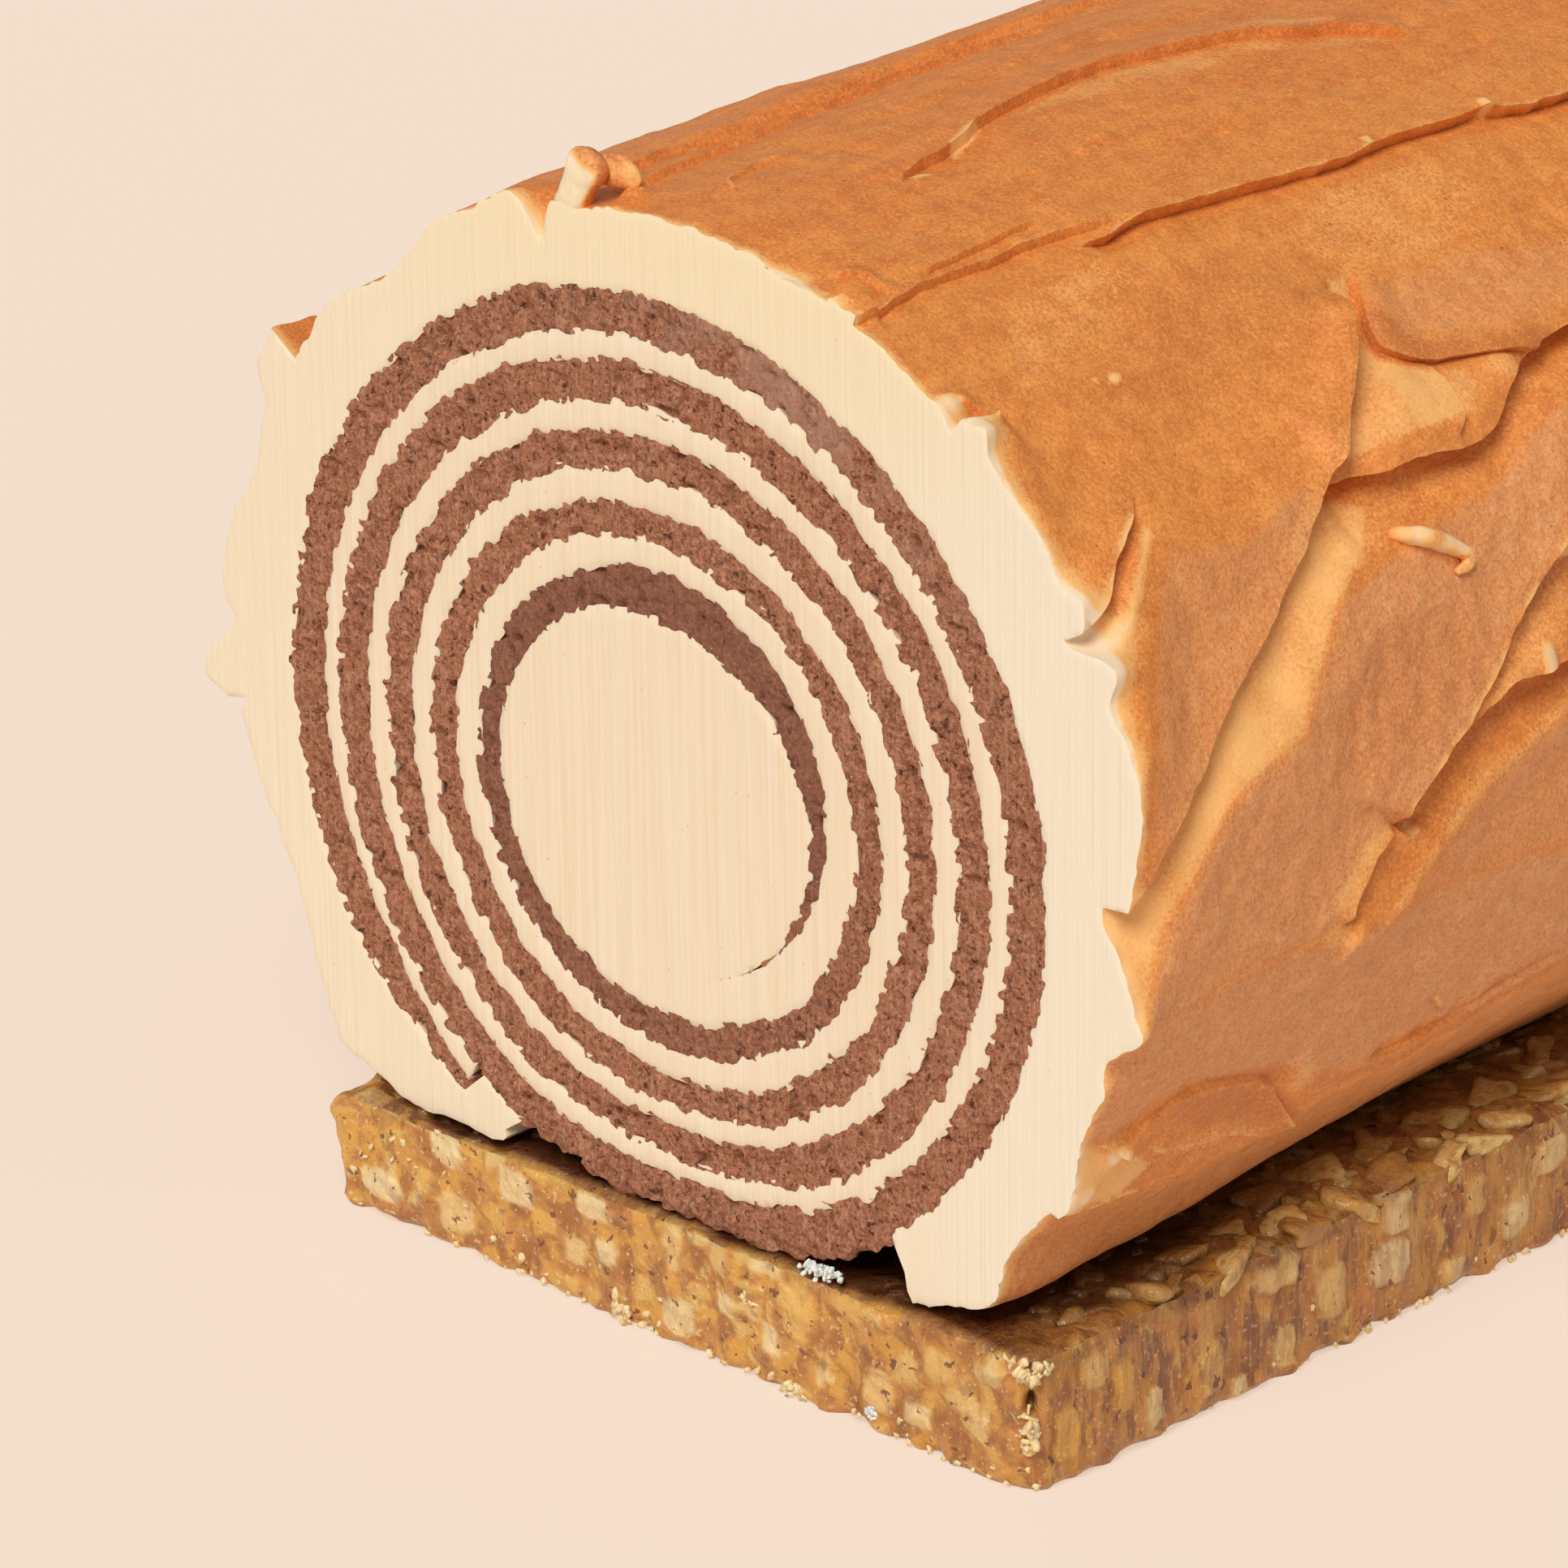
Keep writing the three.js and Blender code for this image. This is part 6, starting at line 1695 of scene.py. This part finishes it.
def sponge_material():
    m = Shader("chocolate_sponge_crumb")
    smear, inner, tip = m.attributes("smear", "inner_turn", "tip")
    speckle, crumb, drawn = m.noise(0.38, 4, 0.8), m.noise(1.0, 3, 0.65), m.lines(0.5, 3, 0.06)
    color = m.mix(m.ramp(crumb, 0.36, 0.64), (0.300, 0.108, 0.055), (0.52, 0.215, 0.115))
    color = m.tint(color, m.ramp(m.noise(7, 2), 0.35, 0.7), 0.7, (0.425, 0.163, 0.082))
    color = m.tint(color, m.ramp(speckle, 0.475, 0.36), 0.9, (0.115, 0.036, 0.021))
    color = m.tint(color, m.ramp(speckle, 0.53, 0.64), 0.75, (0.66, 0.370, 0.240))
    # pores: painted shade in the crumb's small holes
    pores = m.ramp(m.noise(0.8, 3, 0.6), 0.385, 0.34)
    color = m.tint(color, pores, 0.85, (0.075, 0.020, 0.013))
    color = m.tint(color, m.ramp(drawn, 0.53, 0.66), 0.4, (0.60, 0.310, 0.190))
    color = m.tint(color, inner, 0.55, (0.205, 0.080, 0.052))
    color = m.tint(color, smear, 0.6, (0.50, 0.280, 0.190))
    color = m.mix(tip, color, (0.55, 0.22, 0.07))
    crumbly = m.bump(m.noise(0.4, 4, 0.75), 0.35)
    normal = m.bump(drawn, 0.12, normal=crumbly)
    return m.finish(Base_Color=color, Roughness=0.9, Normal=normal, Specular_IOR_Level=0.25)


def cut_chunk_color(m, pale):
    """The nibs and bits of peel that the cuts laid open, from brown peel over golden to pale nib."""
    color = m.mix(m.ramp(pale, -0.3, 0.1), (0.62, 0.200, 0.045), (0.80, 0.430, 0.075))
    color = m.mix(m.ramp(pale, 0.1, 1.0), color, (0.91, 0.74, 0.42))
    return m.tint(color, m.ramp(m.noise(1.1, 3), 0.40, 0.66), 0.5, (0.74, 0.44, 0.12))


def paste_material():
    m = Shader("nut_and_peel_paste")
    painted_shade, dragged, chunk, pale = m.attributes("painted_shade", "dragged", "chunk", "pale")
    squeeze = m.add("ShaderNodeCombineXYZ", {0: 1.0, 1: 1.0, 2: m.inverse(dragged)}).outputs[0]

    def drawn(warp_size, warp, shift=0.0):
        """Uneven coordinates that are drawn out downwards where the knife dragged the slab's side."""
        where = m.vector("SUBTRACT", m.warped(warp_size, warp), (0, 0, SLAB_THICKNESS))
        return m.vector("ADD", m.vector("MULTIPLY", where, squeeze), (shift, 1.7 * shift, 0.4 * shift))

    # The paste with golden peel in it
    tone = m.ramp(m.noise(2.4, 4, 0.6, where=drawn(2.0, 1.5)), 0.36, 0.64)
    paste = m.mix(tone, (0.42, 0.156, 0.034), (0.63, 0.285, 0.071))
    golden = m.times(m.ramp(m.noise(3.6, 2, where=drawn(2.0, 1.6, 13)), 0.48, 0.60), 0.7)
    paste = m.mix(m.times(golden, m.inverse(dragged)), paste, (0.78, 0.400, 0.070))

    # Nibs: some of the cells of a pattern, each with its own paleness
    nib_place = drawn(2.4, 1.1, 29)
    pick = m.add("ShaderNodeSeparateColor", {0: m.cells(3.1, output="Color", where=nib_place)}).outputs[0]
    edge = m.cells(3.1, feature="DISTANCE_TO_EDGE", where=nib_place)
    body = m.times(m.ramp(pick, 0.66, 0.70), m.ramp(edge, 0.02, 0.18))
    pale_nib = m.mix(m.ramp(pick, 0.7, 1.0), (0.76, 0.460, 0.130), (0.86, 0.62, 0.27))
    nib = m.mix(m.ramp(edge, 0.06, 0.34), (0.76, 0.410, 0.085), pale_nib)
    color = m.tint(paste, body, 0.85, nib)
    color = m.tint(color, chunk, 0.82, cut_chunk_color(m, pale))

    # Stains and lines that the knife dragged down, fewer of them over the cut nibs
    clean = m.inverse(m.times(chunk, 0.6))
    streaks = m.noise(1.7, 3, where=m.vector("MULTIPLY", drawn(1.5, 0.8, 5), (1.0, 1.0, 0.7)))
    stain = m.times(m.ramp(streaks, 0.55, 0.66), m.plus(0.5, m.times(dragged, 0.6)))
    color = m.mix(m.times(stain, clean), color, (0.250, 0.094, 0.042))
    lines = m.times(m.times(m.ramp(m.lines(0.5, 3, 0.12), 0.50, 0.66), dragged), 0.7)
    color = m.mix(m.times(lines, clean), color, (0.66, 0.400, 0.190))

    # Pale specks, dark skins, and painted shade: darker towards the right, down the long sides and next to
    # the log
    color = m.tint(color, m.ramp(m.noise(0.45, 2), 0.60, 0.70), 0.6, (0.88, 0.66, 0.36))
    skins = m.noise(1.0, 2, where=drawn(1.0, 1.4, 17))
    color = m.tint(color, m.ramp(skins, 0.66, 0.69), 0.8, (0.150, 0.034, 0.024))
    # painted shade: the paste darkened towards +x and on the dragged long sides, where less light falls
    right = m.plus(m.times(m.ramp(m.place()[0], 14, 34), 0.4), m.times(dragged, 2.0))
    shade = m.mix(m.math("MINIMUM", right, 1.0), (1.0, 1.0, 1.0), (0.86, 0.80, 0.74))
    color = m.with_painted_shade(m.mix(1.0, color, shade, blend="MULTIPLY"), painted_shade)

    lumps = m.bump(m.times(m.ramp(edge, 0.0, 0.3), pick), 0.35)
    drag = m.bump(m.times(m.lines(0.55, 3, 0.10), dragged), 0.5, normal=lumps)
    normal = m.bump(m.noise(0.5, 4, 0.7), 0.22, normal=drag)
    gloss = m.plus(0.17, m.times(m.noise(1.5, 2), 0.34))
    return m.finish(Base_Color=color, Roughness=gloss, Normal=normal, Subsurface_Weight=0.3,
                    Subsurface_Radius=(1.0, 0.55, 0.15), Subsurface_Scale=1.6 * MM,
                    Specular_IOR_Level=0.55)


def nib_material():
    m = Shader("almond_nib")
    tone, painted_shade = m.attributes("tone", "painted_shade")
    color = m.mix(tone, (0.68, 0.36, 0.090), (0.90, 0.62, 0.23))
    color = m.mix(m.ramp(tone, 0.30, 0.18), color, (0.50, 0.225, 0.065))
    color = m.tint(color, m.ramp(m.noise(1.6, 3), 0.44, 0.62), 0.65, (0.68, 0.340, 0.070))
    color = m.tint(color, m.ramp(m.noise(0.8, 3), 0.56, 0.66), 0.4, (0.42, 0.170, 0.045))
    # painted shade: nibs darkened next to the log, as the slab's top is
    return m.finish(Base_Color=m.with_painted_shade(color, painted_shade), Roughness=0.24, Normal=m.bump(m.noise(0.7, 3), 0.35),
                    Subsurface_Weight=0.3, Subsurface_Radius=(1.0, 0.7, 0.3), Subsurface_Scale=1.5 * MM)


def peel_material():
    m = Shader("candied_peel")
    tone, painted_shade = m.attributes("tone", "painted_shade")
    color = m.mix(tone, (0.54, 0.20, 0.035), (0.76, 0.40, 0.085))
    # painted shade: peel darkened next to the log, as the slab's top is
    return m.finish(Base_Color=m.with_painted_shade(color, painted_shade), Roughness=0.25, Normal=m.bump(m.noise(0.5, 2), 0.1),
                    Subsurface_Weight=0.4, Subsurface_Radius=(1.0, 0.5, 0.15), Subsurface_Scale=2 * MM)


def skin_material():
    m = Shader("nut_skin")
    (tone,) = m.attributes("tone")
    color = m.mix(tone, (0.14, 0.032, 0.028), (0.27, 0.085, 0.045))
    return m.finish(Base_Color=color, Roughness=0.4, Normal=m.bump(m.noise(0.3, 2), 0.08))


def crumb_material():
    m = Shader("pale_nut_crumb")
    color = m.mix(m.ramp(m.noise(0.5, 3), 0.35, 0.65), (0.84, 0.56, 0.24), (0.95, 0.76, 0.44))
    return m.finish(Base_Color=color, Roughness=0.6, Normal=m.bump(m.noise(0.2, 3), 0.12),
                    Subsurface_Weight=0.2, Subsurface_Radius=(1.0, 0.6, 0.3), Subsurface_Scale=MM)


def sugar_material():
    m = Shader("sugar")
    color = m.mix(m.noise(0.3, 1), (0.80, 0.72, 0.62), (0.93, 0.90, 0.86))
    return m.finish(Base_Color=color, Roughness=0.3, Subsurface_Weight=0.3, Subsurface_Scale=MM)


# ---- Stage, light and camera ----

CAMERA_AZIMUTH, CAMERA_ELEVATION, CAMERA_ROLL = 45.08, 23.08, -0.8686
CAMERA_TARGET = (14.89, -LOG_LENGTH / 2, 54.87)
CAMERA_DISTANCE = 743.1
CAMERA_LENS = 210.0
BACKDROP = (0.905, 0.738, 0.604)  # the pale peach ground, as light
AMBIENT, AMBIENT_STRENGTH = (1.0, 0.95, 0.89), 0.33
FLOOR_REACH = 4.0  # metres from its middle to each side
FLOOR_COLOR, FLOOR_GLOW = (0.262, 0.221, 0.187), 0.72
SUN_FROM, SUN_STRENGTH, SUN_SOFTNESS = (0.38, -0.78, 1.0), 2.5, 30


def build_floor():
    mesh = bpy.data.meshes.new("floor")
    corners = [(x * FLOOR_REACH, y * FLOOR_REACH, 0) for x, y in ((-1, -1), (1, -1), (1, 1), (-1, 1))]
    mesh.from_pydata(corners, [], [(0, 1, 2, 3)])
    m = Shader("peach_floor")
    mesh.materials.append(m.finish(Base_Color=(*FLOOR_COLOR, 1), Roughness=1.0, Specular_IOR_Level=0.0,
                                   Emission_Color=(*BACKDROP, 1), Emission_Strength=FLOOR_GLOW))
    floor = bpy.data.objects.new("floor", mesh)
    bpy.context.scene.collection.objects.link(floor)


def build_world():
    """The backdrop's colour where the camera sees it, and a dimmer, whiter light on the cake."""
    world = bpy.data.worlds.new("studio")
    bpy.context.scene.world = world
    world.use_nodes = True
    nodes, links = world.node_tree.nodes, world.node_tree.links
    nodes.clear()
    seen = nodes.new("ShaderNodeBackground")
    seen.inputs[0].default_value = (*BACKDROP, 1)
    ambient = nodes.new("ShaderNodeBackground")
    ambient.inputs[0].default_value = (*AMBIENT, 1)
    ambient.inputs[1].default_value = AMBIENT_STRENGTH
    path = nodes.new("ShaderNodeLightPath")
    mixer = nodes.new("ShaderNodeMixShader")
    output = nodes.new("ShaderNodeOutputWorld")
    links.new(path.outputs["Is Camera Ray"], mixer.inputs[0])
    links.new(ambient.outputs[0], mixer.inputs[1])
    links.new(seen.outputs[0], mixer.inputs[2])
    links.new(mixer.outputs[0], output.inputs[0])


def build_sun():
    """One broad soft light. It comes from a direction measured from the cake."""
    data = bpy.data.lights.new("key", "SUN")
    data.energy = SUN_STRENGTH
    data.angle = math.radians(SUN_SOFTNESS)
    lamp = bpy.data.objects.new("key", data)
    lamp.rotation_euler = Vector(SUN_FROM).to_track_quat("Z", "Y").to_euler()
    bpy.context.scene.collection.objects.link(lamp)


def build_camera():
    azimuth, elevation = math.radians(CAMERA_AZIMUTH), math.radians(CAMERA_ELEVATION)
    back = Vector((math.sin(azimuth) * math.cos(elevation), -math.cos(azimuth) * math.cos(elevation),
                   math.sin(elevation)))
    right = Vector((math.cos(azimuth), math.sin(azimuth), 0))
    up = back.cross(right)
    roll = math.radians(CAMERA_ROLL)
    right, up = (math.cos(roll) * right + math.sin(roll) * up, -math.sin(roll) * right + math.cos(roll) * up)
    data = bpy.data.cameras.new("camera")
    data.lens = CAMERA_LENS
    data.sensor_width = 36
    data.clip_start, data.clip_end = 0.01, 20
    camera = bpy.data.objects.new("camera", data)
    place = (Vector(CAMERA_TARGET) + back * CAMERA_DISTANCE) * MM
    turn = Matrix((right, up, back)).transposed().to_4x4()
    camera.matrix_world = Matrix.Translation(place) @ turn
    bpy.context.scene.collection.objects.link(camera)
    bpy.context.scene.camera = camera


build_camera()
build_floor()
build_world()
build_sun()
build_sponge()
build_filling()
look_of_bark = bark_material()
build_coat(look_of_bark)
build_curls(look_of_bark)
build_slab()
build_nuts()
build_top_chunks()
build_crumbs()
bpy.context.scene.view_settings.view_transform = "Standard"
